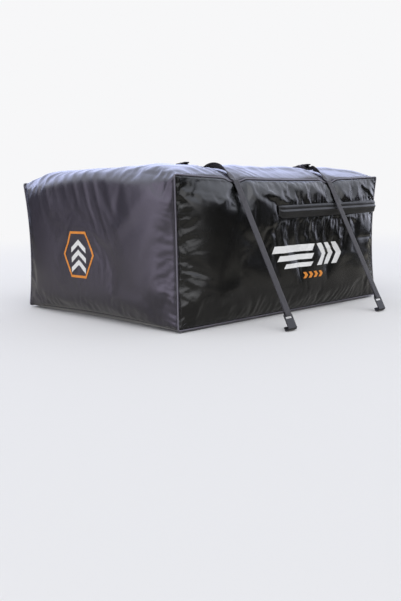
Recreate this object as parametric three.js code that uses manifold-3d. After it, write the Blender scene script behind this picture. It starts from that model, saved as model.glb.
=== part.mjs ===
// Soft roof-top luggage carrier: a sewn fabric box held down by two crosswise
// pairs of straps with cam buckles and flat door hooks.
// Millimetres, +Z up, floor at z = 0, origin under the middle of the box.
// +X runs along the black side towards the rear end, -Y is the near black side.
import * as THREE from 'three';
import { mergeVertices } from 'three/addons/utils/BufferGeometryUtils.js';
import Module from 'manifold-3d';

const wasm = await Module();
wasm.setup();
const { Manifold, Mesh: ManifoldMesh } = wasm;

// ---- driving dimensions ----
const bagLength = 980;
const bagWidth = 804;
const bagHeight = 432;
const seamLift = 8;
const fabric = 2;
const pipingRadius = 3.2;
const restGap = 0.3;
const seamInset = pipingRadius + 1.8;

const sideBulge = 28;
const endBulge = 24;
const crownRise = 32;
const verticalBow = 10;
const seamDip = 13;
const strapDip = 9;
const strapPress = 12;
const strapValley = 8;
const foldBow = 12;
const foldRadiusMiddle = 44;
const foldRadiusCorner = 9;
const baseRadius = 12;
const baseBowUp = 8;

const strapFromFront = 240;
const strapFromRear = 284;
const webbingWidth = 25;
const webbingThick = 1.8;
const strapOutSlope = 0.524;
const twistLength = 116;
const nearBuckleInset = [232, 110];
const farBuckleInset = [122, 114];

const zipLength = 570;
const zipStartDrop = 114;
const zipRearDrop = 105;
const slitHalf = 6;
const flapAbove = 21;
const flapBelow = 19;
const flapLift = 7;
const flapThick = 1.6;
const flapSeamGap = 14;

const toothGap = 1;
const toothHeight = 2.2;
const toothBack = 4.8;
const toothFront = 1.6;
const tapeHeight = 12;
const tapeThick = 0.7;

const sliderLength = 10;
const sliderHalf = 4.5;
const tabLength = 24;
const tabWidth = 7;
const tabThick = 1.6;

const frameLength = 52;
const frameInner = 28;
const frameWall = 3;
const frameHeight = 17;
const plateThick = 2.4;
const camPinRadius = 2;
const camRadius = 8.2;
const camPinZ = 13.2;
const leverWidth = 18;

const hookWidth = 35;
const hookThick = 3;
const hookPlate = 40;
const hookMouth = 11;
const hookSlot = 9;

// ---- derived values ----
const hx = bagLength / 2;
const hy = bagWidth / 2;
const hz = bagHeight / 2;
const midZ = seamLift + hz;
const topZ = seamLift + bagHeight;
const strapX = [-hx + strapFromFront, hx - strapFromRear];
const zipStartX = hx - zipLength;
const zipStartZ = topZ - zipStartDrop;
const zipRearZ = topZ - zipRearDrop;
const slope = Math.atan(strapOutSlope);

const V = (x, y, z) => new THREE.Vector3(x, y, z);
const clamp = (v, a, b) => Math.min(b, Math.max(a, v));
const bow = (t) => 1 - t * t;
const plateau = (t, p) => 1 - Math.abs(t) ** p;
const trough = (d, w) => Math.exp(-((d / w) ** 4));
const bump = (d, width) => Math.exp(-(d * d) / (width * width));
const lerp = (a, b, t) => a + (b - a) * t;
const smooth = (a, b, t) => {
  const s = clamp((t - a) / (b - a), 0, 1);
  return s * s * (3 - 2 * s);
};

// A long soft crease from (ax, ay) to (bx, by), measured in millimetres.
// It fades at both ends and has a rounded top and a hollow beside it.
function crease(px, py, ax, ay, bx, by, width, height) {
  const dx = bx - ax;
  const dy = by - ay;
  const len2 = dx * dx + dy * dy;
  const t = ((px - ax) * dx + (py - ay) * dy) / len2;
  const off = ((px - ax) * dy - (py - ay) * dx) / Math.sqrt(len2);
  const s = clamp(t, 0, 1);
  const along = Math.sin(Math.PI * s) ** 0.7;
  const inside = t < 0 || t > 1 ? 0 : 1;
  const k = off / width;
  return inside * height * along * (1 - k * k) * Math.exp(-k * k * 0.8);
}

// Soft folds of the filled bag, in millimetres outward, for each face.
// Their places are drawn on half sizes of 490 and 402 and a top at 440.
const drawnX = (x) => (x / hx) * 490;
const drawnY = (y) => (y / hy) * 402;
const drawnZ = (z) => (z / topZ) * 440;
function sideFolds(xReal, zReal, near) {
  let h = 0;
  const x = drawnX(xReal);
  const z = drawnZ(zReal);
  const quiet = smooth(0, 34, Math.abs(zReal - zipZ(xReal)) - 20);
  const list = [
    [-150, 432, -60, 340, 26, 4.5],
    [-40, 436, 30, 350, 24, -4],
    [60, 436, 40, 352, 22, 4],
    [130, 434, 190, 352, 24, -4.5],
    [232, 430, 268, 352, 20, 5],
    [330, 436, 300, 352, 22, -4],
    [400, 436, 452, 350, 22, 4.5],
    [-400, 420, -240, 330, 30, 5],
    [-470, 396, -330, 300, 26, -4],
    [-270, 420, -180, 300, 26, -4],
    [-60, 300, -30, 200, 24, -3.5],
    [70, 302, 90, 215, 18, 3.5],
    [150, 304, 150, 200, 18, -3.5],
    [230, 306, 216, 190, 20, 3.5],
    [330, 310, 306, 180, 24, -3.5],
    [450, 316, 392, 150, 30, 6],
    [-480, 60, -260, 110, 34, 4],
    [-220, 40, 60, 66, 30, -3.5],
    [120, 34, 400, 60, 30, 4],
  ];
  for (const c of list) {
    const flip = near ? 1 : 0.8;
    h += crease(x, z, c[0], c[1], c[2], c[3], c[4], c[5] * flip);
  }
  return h * quiet;
}

function endFolds(yReal, zReal, front) {
  let h = 0;
  const y = drawnY(yReal);
  const z = drawnZ(zReal);
  const list = [
    [-330, 400, -120, 250, 34, 4],
    [-380, 330, -250, 90, 28, -3.5],
    [-200, 430, -150, 300, 26, -3.5],
    [250, 410, 90, 290, 36, 3.5],
    [370, 390, 290, 200, 30, 4],
    [-360, 40, -130, 90, 30, 4],
    [60, 30, 330, 70, 32, 4],
  ];
  const quiet = front ? 1 : 1 - smooth(200, 300, z);
  for (const c of list) h += crease(y, z, c[0], c[1], c[2], c[3], c[4], c[5]);
  return h * quiet;
}

function topFolds(xReal, yReal) {
  let h = 0;
  const x = drawnX(xReal);
  const y = drawnY(yReal);
  const list = [
    [-470, -330, -300, -120, 40, 4],
    [-440, -80, -250, -20, 36, -3.5],
    [-470, 300, -310, 110, 40, 4],
    [-180, -360, -80, -140, 36, 4],
    [-60, -370, 40, -180, 34, -3.5],
    [90, -350, 120, -120, 36, 3.5],
    [-160, 340, -60, 130, 40, 3.5],
    [60, 350, 120, 150, 36, -3.5],
    [300, -350, 400, -120, 40, 4],
    [300, 330, 440, 120, 40, 4],
  ];
  for (const c of list) h += crease(x, y, c[0], c[1], c[2], c[3], c[4], c[5]);
  let keep = 1;
  for (const sx of strapX) keep *= 1 - bump(xReal - sx, 62);
  return h * keep;
}

function zipZ(x) {
  return lerp(zipStartZ, zipRearZ, clamp((x - zipStartX) / (hx - zipStartX), 0, 1));
}

// The wrap has no seam at its top folds, so it stays full there between the corners.
const foldHold = (v, w) => 0.95 * bow(v) ** 0.65 * smooth(0.5, 0.9, w);

// Inward and outward movement of each pair of faces of the box.
function dX(u, v, w) {
  const full = plateau(v, 8) * (1 - (1 - plateau(w, 8)) * (1 - foldHold(v, w)));
  const edges = -(verticalBow * bow(w) + foldBow * bow(v));
  const soft = endFolds(v * hy, midZ + w * hz, u < 0) * full;
  return (1 - full) * edges + full * endBulge + soft;
}

function dY(u, v, w) {
  const full = plateau(u, 8) * plateau(w, 8);
  const edges = -(verticalBow * bow(w) + 8 * bow(u) * (w > 0 ? 1 : 0.3));
  const soft = sideFolds(u * hx, midZ + w * hz, v < 0) * full;
  let press = 0;
  for (const sx of strapX) press += trough(u * hx - sx, 46) * smooth(0.6, 0.84, w);
  return (1 - full) * edges + full * (sideBulge - strapPress * press) + soft;
}

function dTop(u, v, w) {
  const full = (1 - (1 - plateau(u, 10)) * (1 - foldHold(v, w))) * plateau(v, 10);
  const x = u * hx;
  let press = 0;
  for (const sx of strapX) press += trough(x - sx, 38);
  const edges = -(seamDip * bow(u) + strapDip * press + 6 * bow(v));
  const valley = strapValley * (1 - 0.6 * smooth(-0.1, 0.5, v));
  const crown = crownRise - valley * press;
  return (1 - full) * edges + full * crown + topFolds(x, v * hy) * full;
}

// The bottom rests flat on the floor and turns up to the seams at its rim.
function dBottom(u, v) {
  const ru = smooth(0.93, 1, Math.abs(u));
  const rv = smooth(0.93, 1, Math.abs(v));
  const flat = (1 - ru) * (1 - rv);
  return baseBowUp * bow(v) * ru - seamLift * flat;
}

// Rounds the folded edges between the ends and the top or bottom.
function roundedFold(u, w, radius) {
  const a = (1 - Math.abs(u)) * hx;
  const b = (1 - Math.abs(w)) * hz;
  const s = Math.abs(u) >= 1 - 1e-9 ? b : -a;
  if (Math.abs(s) >= radius) return [0, 0];
  const angle = ((s / radius + 1) * Math.PI) / 4;
  const arcX = -radius + radius * Math.sin(angle);
  const arcZ = -radius + radius * Math.cos(angle);
  const flatX = s < 0 ? s : 0;
  const flatZ = s < 0 ? 0 : -s;
  return [arcX - flatX, arcZ - flatZ];
}

// A point of the bag's outer skin for cube coordinates from -1 to 1.
function skin(u, v, w) {
  const cube = (t) => Math.sign(t) * Math.abs(t) ** 3;
  const x = u * hx + cube(u) * dX(u, v, w);
  const y = v * hy + cube(v) * dY(u, v, w);
  const top = w > 0 ? cube(w) * dTop(u, v, w) : Math.abs(w) ** 9 * dBottom(u, v);
  const p = V(x, y, midZ + w * hz + top);
  const onWrap = Math.max(Math.abs(u), Math.abs(w)) > 1 - 1e-9;
  if (onWrap) {
    const middle = w > 0 ? foldRadiusMiddle : baseRadius;
    const corner = w > 0 ? foldRadiusCorner : 8;
    const radius = lerp(corner, middle, bow(v) ** 0.5);
    const shift = roundedFold(u, w, radius);
    p.x += Math.sign(u) * shift[0];
    p.z += Math.sign(w) * shift[1];
  }
  return p;
}

// Sheet position: a is the first sheet coordinate, b the second.
function sideSkin(side) {
  return (a, b) => skin(clamp(a, -1, 1), side, clamp(b, -1, 1));
}

// Running length round the wrap, front bottom edge = 0, over the top, to rear.
function wrapSkin(length, v) {
  const front = bagHeight;
  const top = front + bagLength;
  if (length <= front) return skin(-1, v, -1 + length / hz);
  if (length <= top) return skin(-1 + (length - front) / hx, v, 1);
  return skin(1, v, 1 - (length - top) / hz);
}

// Running length of the base: bottom from the front edge, then up the rear end.
function baseSkin(length, v) {
  if (length <= bagLength) return skin(-1 + length / hx, v, -1);
  return skin(1, v, -1 + (length - bagLength) / hz);
}

function normalOf(f, a, b, da, db) {
  const pa = f(a + da, b).sub(f(a - da, b));
  const pb = f(a, b + db).sub(f(a, b - db));
  return pa.cross(pb).normalize();
}

// ---- solid helpers ----
function clean(geometry) {
  const g = geometry.clone();
  g.deleteAttribute('normal');
  g.deleteAttribute('uv');
  const merged = mergeVertices(g, 1e-4);
  const index = merged.index;
  const p = merged.attributes.position;
  let volume = 0;
  const a = V(0, 0, 0);
  const b = V(0, 0, 0);
  const c = V(0, 0, 0);
  for (let i = 0; i < index.count; i += 3) {
    a.fromBufferAttribute(p, index.getX(i));
    b.fromBufferAttribute(p, index.getX(i + 1));
    c.fromBufferAttribute(p, index.getX(i + 2));
    volume += a.dot(b.clone().cross(c));
  }
  if (volume < 0) {
    for (let i = 0; i < index.count; i += 3) {
      const k = index.getX(i + 1);
      index.setX(i + 1, index.getX(i + 2));
      index.setX(i + 2, k);
    }
  }
  return merged;
}

function toManifold(geometry) {
  const g = clean(geometry);
  const mesh = new ManifoldMesh({
    numProp: 3,
    vertProperties: new Float32Array(g.attributes.position.array),
    triVerts: new Uint32Array(g.index.array),
  });
  mesh.merge();
  return new Manifold(mesh);
}

function fromManifold(solid) {
  const mesh = solid.getMesh();
  const g = new THREE.BufferGeometry();
  g.setAttribute('position', new THREE.BufferAttribute(new Float32Array(mesh.vertProperties), 3));
  g.setIndex(new THREE.BufferAttribute(new Uint32Array(mesh.triVerts), 1));
  return g;
}

function cut(geometry, ...tools) {
  let solid = toManifold(geometry);
  for (const tool of tools) solid = solid.subtract(toManifold(tool));
  return fromManifold(solid);
}

function join(...geometries) {
  let solid = toManifold(geometries[0]);
  for (const g of geometries.slice(1)) solid = solid.add(toManifold(g));
  return fromManifold(solid);
}

function box(x0, x1, y0, y1, z0, z1) {
  const g = new THREE.BoxGeometry(x1 - x0, y1 - y0, z1 - z0);
  g.translate((x0 + x1) / 2, (y0 + y1) / 2, (z0 + z1) / 2);
  return g;
}

// A box whose points are moved by a rule of three numbers from 0 to 1.
function shaped(n0, n1, n2, rule) {
  const g = new THREE.BoxGeometry(1, 1, 1, n0, n1, n2);
  g.deleteAttribute('normal');
  g.deleteAttribute('uv');
  const merged = mergeVertices(g, 1e-5);
  const p = merged.attributes.position;
  for (let i = 0; i < p.count; i++) {
    const q = rule(p.getX(i) + 0.5, p.getY(i) + 0.5, p.getZ(i) + 0.5);
    p.setXYZ(i, q.x, q.y, q.z);
  }
  return clean(merged);
}

// A cloth sheet on a skin: its grid lines are given, thickness goes inward.
function sheet(f, linesA, linesB, sense, out, inner) {
  const na = linesA.length - 1;
  const nb = linesB.length - 1;
  const pick = (lines, t) => lines[Math.round(t * (lines.length - 1))];
  const da = (linesA[na] - linesA[0]) * 0.002;
  const db = (linesB[nb] - linesB[0]) * 0.002;
  return shaped(na, nb, 1, (a, b, c) => {
    const qa = pick(linesA, a);
    const qb = pick(linesB, b);
    const n = normalOf(f, qa, qb, da, db).multiplyScalar(sense);
    return f(qa, qb).addScaledVector(n, lerp(inner, out, c));
  });
}

function lines(from, to, count, ease = 0) {
  const list = [];
  for (let i = 0; i <= count; i++) {
    const t = i / count;
    const s = t - (ease * Math.sin(2 * Math.PI * t)) / (2 * Math.PI);
    list.push(lerp(from, to, s));
  }
  return list;
}

// A flat band along a path. Each station gives point, width and face directions.
function band(stations, width, thick) {
  const n = stations.length - 1;
  return shaped(n, 1, 1, (a, b, c) => {
    const s = stations[Math.round(a * n)];
    const q = s.p.clone();
    q.addScaledVector(s.w, (b - 0.5) * width);
    q.addScaledVector(s.n, (c - 0.5) * thick);
    return q;
  });
}

const root = new THREE.Group();
root.name = 'roof_top_carrier';

function add(name, geometry, colour, roughness, metalness) {
  const material = new THREE.MeshStandardMaterial({ color: colour, roughness, metalness });
  const mesh = new THREE.Mesh(clean(geometry), material);
  mesh.name = name;
  root.add(mesh);
}

const slate = 0x555263;
const glossBlack = 0x1d1d1c;
const pipingGrey = 0x96919b;
const webbingSlate = 0x44404b;
const hardBlack = 0x17171a;
const steel = 0xa8a8ac;

// ---- main panels ----
const zipW = (zipRearZ - midZ) / hz;
const wrapEnd = bagHeight + bagLength + (1 - zipW) * hz - slitHalf;
const topX = [-426, -372, -330, -299, -265, -230, -165, -95, -25, 45, 105, 152];
topX.push(189, 223, 260, 315, 375, 426);
const wrapLines = [
  ...lines(2, bagHeight - 60, 6),
  ...lines(bagHeight - 36, bagHeight + 36, 3),
  ...topX.map((x) => bagHeight + hx + (x / 490) * hx),
  ...lines(bagHeight + bagLength - 36, bagHeight + bagLength + 36, 3),
  wrapEnd - 22,
  wrapEnd,
];
const acrossInset = seamInset / hy;
const across = lines(-1 + acrossInset, 1 - acrossInset, 15, 0.35);
add('top_wrap', sheet(wrapSkin, wrapLines, across, 1, 0, -fabric), slate, 0.55, 0);

const baseEnd = bagLength + (zipW + 1) * hz - slitHalf;
const baseLines = [
  ...[0.8, 10, 24, 40],
  ...lines(120, bagLength - 120, 4),
  ...[bagLength - 40, bagLength - 24, bagLength - 10, bagLength, bagLength + 12, bagLength + 40],
  ...lines(bagLength + 90, baseEnd - 24, 3),
  baseEnd,
];
const baseAcross = [
  ...[-1 + acrossInset, -0.975, -0.96, -0.93],
  ...lines(-0.7, 0.7, 4),
  ...[0.93, 0.96, 0.975, 1 - acrossInset],
];
add('base_panel', sheet(baseSkin, baseLines, baseAcross, -1, 0, -fabric), slate, 0.6, 0);

function slitCutter(side) {
  return shaped(12, 1, 1, (a, b, c) => {
    const x = lerp(zipStartX, hx + 6, a);
    const u = clamp(x / hx, -1, 1);
    const w = (zipZ(x) - midZ) / hz;
    const q = skin(u, side, w);
    q.x = x;
    q.y += side * lerp(-9, 9, c);
    q.z += lerp(-slitHalf, slitHalf, b);
    return q;
  });
}

const upInset = seamInset / hz;
const edgeX = hx - seamInset;
const sideX = [-edgeX, -474, -452, -418, -382, -345, -312, -282, -252, -218, -178, -138];
sideX.push(-98, -58, -18, 22, 62, 100, 136, 171, 206, 241, 276, 311, 347, 384, 420, 452, 474, edgeX);
const sideLinesA = sideX.map((x) => (Math.abs(x) === edgeX ? x / hx : x / 490));
const sideLinesB = lines(-1 + upInset, 1 - upInset, 13, 0.3);
for (const side of [-1, 1]) {
  const tag = side < 0 ? 'left' : 'right';
  const panel = sheet(sideSkin(side), sideLinesA, sideLinesB, -side, 0, -fabric);
  add('side_panel_' + tag, cut(panel, slitCutter(side)), glossBlack, 0.22, 0);
}

// ---- piping round each side panel, open where the zipper passes ----
// A curve that is sampled exactly at its own points, so corners stay in place.
function throughPoints(list) {
  const curve = new THREE.CatmullRomCurve3(list, false, 'centripetal');
  curve.getPointAt = (t, target) => curve.getPoint(t, target);
  curve.getTangentAt = (t, target) => curve.getTangent(t, target);
  curve.stations = list.length - 1;
  return curve;
}
function pipingPath(side) {
  const gap = slitHalf + pipingRadius + 1.4;
  const wHigh = zipW + gap / hz;
  const wLow = zipW - gap / hz;
  const list = [];
  const turnU = 1 - 9 / hx;
  const turnW = 1 - 9 / hz;
  const tip = (su, sw) => list.push(skin(su * (1 - 2 / hx), side, sw * (1 - 2 / hz)));
  for (const w of lines(wHigh, turnW, 3)) list.push(skin(1, side, w));
  tip(1, 1);
  for (const u of lines(turnU, -turnU, 28)) list.push(skin(u, side, 1));
  tip(-1, 1);
  for (const w of lines(turnW, -turnW, 9)) list.push(skin(-1, side, w));
  tip(-1, -1);
  for (const u of lines(-turnU, turnU, 12)) list.push(skin(u, side, -1));
  tip(1, -1);
  for (const w of lines(-turnW, wLow, 6)) list.push(skin(1, side, w));
  return throughPoints(list);
}
function roundShape(radius, sides) {
  const points = [];
  for (let i = 0; i < sides; i++) {
    const t = (2 * Math.PI * i) / sides;
    points.push(new THREE.Vector2(radius * Math.cos(t), radius * Math.sin(t)));
  }
  return new THREE.Shape(points);
}
function cord(curve, radius, sides, steps) {
  return new THREE.ExtrudeGeometry(roundShape(radius, sides), {
    steps,
    bevelEnabled: false,
    extrudePath: curve,
  });
}
for (const side of [-1, 1]) {
  const tag = side < 0 ? 'left' : 'right';
  const path = pipingPath(side);
  add('piping_' + tag, cord(path, pipingRadius, 5, path.stations), pipingGrey, 0.45, 0);
}

// ---- zipper that runs along both sides and round the rear end ----
const cornerRound = 26;
function zipStations() {
  const list = [];
  const deeper = (t) => 6.5 * smooth(0.6, 0.93, Math.abs(t));
  const sidePoint = (x, side) => {
    const w = (zipZ(x) - midZ) / hz;
    const q = skin(x / hx, side, w);
    return { p: V(x, q.y - side * (0.6 + deeper(x / hx)), zipZ(x)), n: V(0, side, 0) };
  };
  const rearX = skin(1, 0, zipW).x;
  const endPoint = (y) => {
    const q = skin(1, y / hy, zipW);
    const straight = smooth(0.57 * hy, 0.75 * hy, Math.abs(y));
    const x = lerp(rearX - 0.3, q.x, straight) - deeper(y / hy);
    return { p: V(x, y, zipRearZ), n: V(1, 0, 0) };
  };
  const corner = (side) => {
    const a = sidePoint(hx - verticalBow - 1 - cornerRound, side);
    const b = endPoint(side * (hy - verticalBow - 1 - cornerRound));
    const out = [];
    for (const t of [0.25, 0.5, 0.75]) {
      const angle = (t * Math.PI) / 2;
      const x = lerp(a.p.x, b.p.x, Math.sin(angle));
      const y = lerp(b.p.y, a.p.y, Math.cos(angle));
      out.push({ p: V(x, y, zipRearZ), n: V(Math.sin(angle), side * Math.cos(angle), 0) });
    }
    return out;
  };
  const last = hx - verticalBow - 1 - cornerRound;
  const lastY = hy - verticalBow - 1 - cornerRound;
  for (const x of lines(zipStartX + 3, last, 13)) list.push(sidePoint(x, -1));
  list.push(...corner(-1));
  const rearY = [0.6 * hy, 0.77 * hy, 0.87 * hy, lastY];
  for (const y of rearY.slice().reverse()) list.push(endPoint(-y));
  list.push(endPoint(0));
  for (const y of rearY) list.push(endPoint(y));
  list.push(...corner(1).reverse());
  for (const x of lines(last, zipStartX + 3, 13)) list.push(sidePoint(x, 1));
  return list;
}
const zipRun = zipStations();
function zipBand(front, back, low, high) {
  const n = zipRun.length - 1;
  return shaped(n, 1, 1, (a, b, c) => {
    const s = zipRun[Math.round(a * n)];
    const q = s.p.clone();
    q.addScaledVector(s.n, -lerp(back, front, c));
    q.z += lerp(low, high, b);
    return q;
  });
}
const toothTop = toothGap + toothHeight;
const tapeLow = toothTop + restGap;
const tapeFront = fabric + 1.3;
const tapeBack = tapeFront + tapeThick;
const zipDark = 0x26262a;
add('zipper_teeth_upper', zipBand(toothFront, toothBack, toothGap, toothTop), zipDark, 0.4, 0);
add('zipper_teeth_lower', zipBand(toothFront, toothBack, -toothTop, -toothGap), zipDark, 0.4, 0);
const tapeTop = tapeLow + tapeHeight;
add('zipper_tape_upper', zipBand(tapeFront, tapeBack, tapeLow, tapeTop), 0x2b2b30, 0.9, 0);
add('zipper_tape_lower', zipBand(tapeFront, tapeBack, -tapeTop, -tapeLow), 0x2b2b30, 0.9, 0);

// Metal stops that close the run just past its two front ends.
for (const side of [-1, 1]) {
  const tag = side < 0 ? 'left' : 'right';
  const y = skin((zipStartX + 2) / hx, side, (zipStartZ - midZ) / hz).y;
  const y0 = Math.min(y - side * toothFront, y - side * toothBack);
  const y1 = Math.max(y - side * toothFront, y - side * toothBack);
  const x1 = zipStartX + 3 - restGap;
  const stop = box(x1 - 2.4, x1, y0, y1, zipStartZ - 4, zipStartZ + 4);
  add('zipper_stop_' + tag, stop, steel, 0.35, 1);
}

// ---- sliders and pull tabs, at rest side by side in the middle of the rear end ----
const rearX = skin(1, 0, zipW).x - 0.3;
const plateFront = -1.2;
const plateOuter = plateFront + 1.9;
const plateInner = -toothBack - 0.4;
const earTop = plateOuter + 4.4;
const tabPinX = plateOuter + 2.6;
for (const side of [-1, 1]) {
  const tag = side < 0 ? 'a' : 'b';
  const mid = side * (sliderLength / 2 + 1.5);
  const y0 = mid - sliderLength / 2;
  const y1 = mid + sliderLength / 2;
  const earY = mid - side * 1;
  const half = sliderHalf;
  const body = join(
    box(plateFront, plateOuter, y0, y1, -half, half),
    box(plateInner - 1.5, plateInner, y0, y1, -half, half),
    box(plateInner - 0.5, plateFront + 0.5, mid - 2, mid + 2, -0.6, 0.6),
    box(plateOuter - 0.2, earTop, earY - 2.4, earY + 2.4, -half, -half + 1.6),
    box(plateOuter - 0.2, earTop, earY - 2.4, earY + 2.4, half - 1.6, half),
  );
  const pin = new THREE.CylinderGeometry(0.9, 0.9, 2 * half - 1, 12);
  pin.rotateX(Math.PI / 2);
  pin.translate(tabPinX, earY, 0);
  const slider = join(body, pin);
  slider.translate(rearX, 0, zipRearZ);
  add('zipper_slider_' + tag, slider, steel, 0.35, 1);
  const eye = new THREE.Shape();
  const w = (2 * (half - 1.6) - 0.8) / 2;
  eye.moveTo(-2.2, -w);
  eye.lineTo(-2.2, w);
  eye.lineTo(6, w);
  eye.lineTo(9, tabWidth / 2);
  eye.lineTo(tabLength - 3, tabWidth / 2);
  eye.quadraticCurveTo(tabLength, tabWidth / 2, tabLength, 0);
  eye.quadraticCurveTo(tabLength, -tabWidth / 2, tabLength - 3, -tabWidth / 2);
  eye.lineTo(9, -tabWidth / 2);
  eye.lineTo(6, -w);
  eye.lineTo(-2.2, -w);
  const leaf = new THREE.ExtrudeGeometry(eye, {
    depth: tabThick,
    bevelEnabled: false,
    curveSegments: 4,
  });
  leaf.translate(0, 0, -tabThick / 2);
  const barrel = new THREE.CylinderGeometry(2.2, 2.2, 2 * w, 16);
  const bore = new THREE.CylinderGeometry(1.05, 1.05, 4 * w, 16);
  const tab = cut(join(leaf, barrel), bore, box(tabLength - 6, tabLength - 3, -1.6, 1.6, -3, 3));
  // Leaf length along the travel direction, its width along Z, its thickness along X.
  const m = new THREE.Matrix4().makeBasis(V(0, side, 0), V(0, 0, 1), V(side, 0, 0));
  tab.applyMatrix4(m);
  tab.translate(rearX + tabPinX, earY, zipRearZ);
  add('pull_tab_' + tag, tab, hardBlack, 0.5, 0);
}

// ---- rain flap over the zipper on each side ----
for (const side of [-1, 1]) {
  const tag = side < 0 ? 'left' : 'right';
  const end = hx - flapSeamGap;
  const flap = shaped(22, 4, 1, (a, b, c) => {
    const x = lerp(zipStartX - 12, end, a);
    const cutBack = x < zipStartX + 8 ? lerp(9, 0, smooth(zipStartX - 12, zipStartX + 8, x)) : 0;
    const dz = lerp(-flapBelow + cutBack, flapAbove, b);
    const z = zipZ(x) + dz;
    const t = 2 * b - 1;
    const ends = smooth(0, 0.05, a) * 0.75 + 0.25;
    const q = skin(x / hx, side, (z - midZ) / hz);
    const lift = 0.8 + flapLift * (1 - Math.abs(t) ** 2.6) * ends + lerp(0, flapThick, c);
    return V(x, q.y + side * lift, z);
  });
  add('rain_flap_' + tag, flap, 0x2e2e33, 0.45, 0);
}

// ---- straps, buckles, anchors and door hooks ----
function topAt(x, y) {
  return skin(x / hx, y / hy, 1);
}
function topSlope(x, y) {
  const a = topAt(x, y - 14);
  const b = topAt(x, y + 14);
  return Math.atan2(b.z - a.z, b.y - a.y);
}
const buckleLift = 4.4;
const holds = [];
for (const k of [0, 1]) {
  const nearY = -hy + nearBuckleInset[k];
  const farY = hy - farBuckleInset[k];
  holds.push({ x: strapX[k], y: nearY, out: -1, tag: 'near_' + (k + 1) });
  holds.push({ x: strapX[k], y: farY, out: 1, tag: 'far_' + (k + 1) });
}
for (const h of holds) {
  // Local frame of the buckle: y out towards the edge, z up from the skin.
  const tilt = topSlope(h.x, h.y) * h.out;
  const outDir = V(0, h.out * Math.cos(tilt), Math.sin(tilt));
  const upDir = V(0, -h.out * Math.sin(tilt), Math.cos(tilt));
  const seat = topAt(h.x, h.y).addScaledVector(upDir, buckleLift);
  const place = new THREE.Matrix4().makeBasis(V(h.out, 0, 0).negate(), outDir, upDir);
  if (place.determinant() < 0) place.makeBasis(V(h.out, 0, 0), outDir, upDir);
  place.setPosition(seat);
  const at = (y, z) => seat.clone().addScaledVector(outDir, y).addScaledVector(upDir, z);

  // Frame: plate, two cheeks and the bar that the sewn loop holds.
  const halfIn = frameInner / 2;
  const cheek = new THREE.Shape();
  const back = -frameLength / 2;
  const front = frameLength / 2;
  cheek.moveTo(back, 0);
  cheek.lineTo(front, 0);
  cheek.lineTo(front, 6);
  cheek.quadraticCurveTo(12, frameHeight, 2, frameHeight);
  cheek.quadraticCurveTo(-10, frameHeight, back, 9);
  cheek.lineTo(back, 0);
  const cheekAt = (x) => {
    const g = new THREE.ExtrudeGeometry(cheek, {
      depth: frameWall,
      bevelEnabled: false,
      curveSegments: 3,
    });
    const turn = new THREE.Matrix4().makeBasis(V(0, 1, 0), V(0, 0, 1), V(1, 0, 0));
    g.applyMatrix4(turn);
    g.translate(x, 0, 0);
    return g;
  };
  const barHole = new THREE.CylinderGeometry(camPinRadius + 0.1, camPinRadius + 0.1, 60, 12);
  barHole.rotateZ(Math.PI / 2);
  barHole.translate(0, 0, camPinZ);
  const bar = box(-halfIn - 1, halfIn + 1, back, back + 4, 0, 4);
  const lip = box(-halfIn - 1, halfIn + 1, front - 3, front, 0, plateThick);
  const plate = box(-halfIn - 1, halfIn + 1, -12, front - 3.2, 0, plateThick);
  const frame = cut(
    join(cheekAt(halfIn), cheekAt(-halfIn - frameWall), bar, lip, plate),
    barHole,
  );
  frame.applyMatrix4(place);
  add('buckle_frame_' + h.tag, frame, hardBlack, 0.4, 0);

  const pin = new THREE.CylinderGeometry(camPinRadius, camPinRadius, frameInner + 2 * frameWall, 12);
  pin.rotateZ(Math.PI / 2);
  pin.translate(0, 0, camPinZ);
  pin.applyMatrix4(place);
  add('cam_pin_' + h.tag, pin, steel, 0.35, 1);

  // Lever: a toothed cam on the pin and a thumb pad that rises outward.
  const lever = new THREE.Shape();
  const teeth = [];
  for (let i = 0; i <= 10; i++) {
    const angle = Math.PI * (0.98 + (0.85 * i) / 10);
    const r = camRadius + (i % 2 ? -0.5 : 0) - 0.05 * i;
    teeth.push([r * Math.cos(angle), r * Math.sin(angle)]);
  }
  lever.moveTo(teeth[0][0], teeth[0][1]);
  for (const t of teeth.slice(1)) lever.lineTo(t[0], t[1]);
  lever.lineTo(24, 4.2);
  lever.quadraticCurveTo(27, 6.6, 24.5, 7.6);
  lever.lineTo(8, 5.6);
  lever.quadraticCurveTo(0, 7.4, teeth[0][0], teeth[0][1]);
  const leverSolid = new THREE.ExtrudeGeometry(lever, {
    depth: leverWidth,
    bevelEnabled: false,
    curveSegments: 4,
  });
  leverSolid.applyMatrix4(new THREE.Matrix4().makeBasis(V(0, 1, 0), V(0, 0, 1), V(1, 0, 0)));
  leverSolid.translate(-leverWidth / 2, 0, camPinZ);
  const bore = new THREE.CylinderGeometry(camPinRadius + 0.15, camPinRadius + 0.15, 60, 16);
  bore.rotateZ(Math.PI / 2);
  bore.translate(0, 0, camPinZ);
  const leverDone = cut(leverSolid, bore);
  leverDone.applyMatrix4(place);
  add('cam_lever_' + h.tag, leverDone, hardBlack, 0.35, 0);

  // Spring coiled round the pin between the lever and one cheek.
  const turns = [];
  const coilR = camPinRadius + 1.2;
  for (let i = 0; i <= 14; i++) {
    const angle = (i / 7) * 2 * Math.PI;
    const x = leverWidth / 2 + 0.9 + (i / 14) * 2.7;
    turns.push(V(x, coilR * Math.cos(angle), camPinZ + coilR * Math.sin(angle)));
  }
  const spring = cord(new THREE.CatmullRomCurve3(turns), 0.45, 4, 15);
  spring.applyMatrix4(place);
  add('cam_spring_' + h.tag, spring, steel, 0.3, 1);

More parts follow.
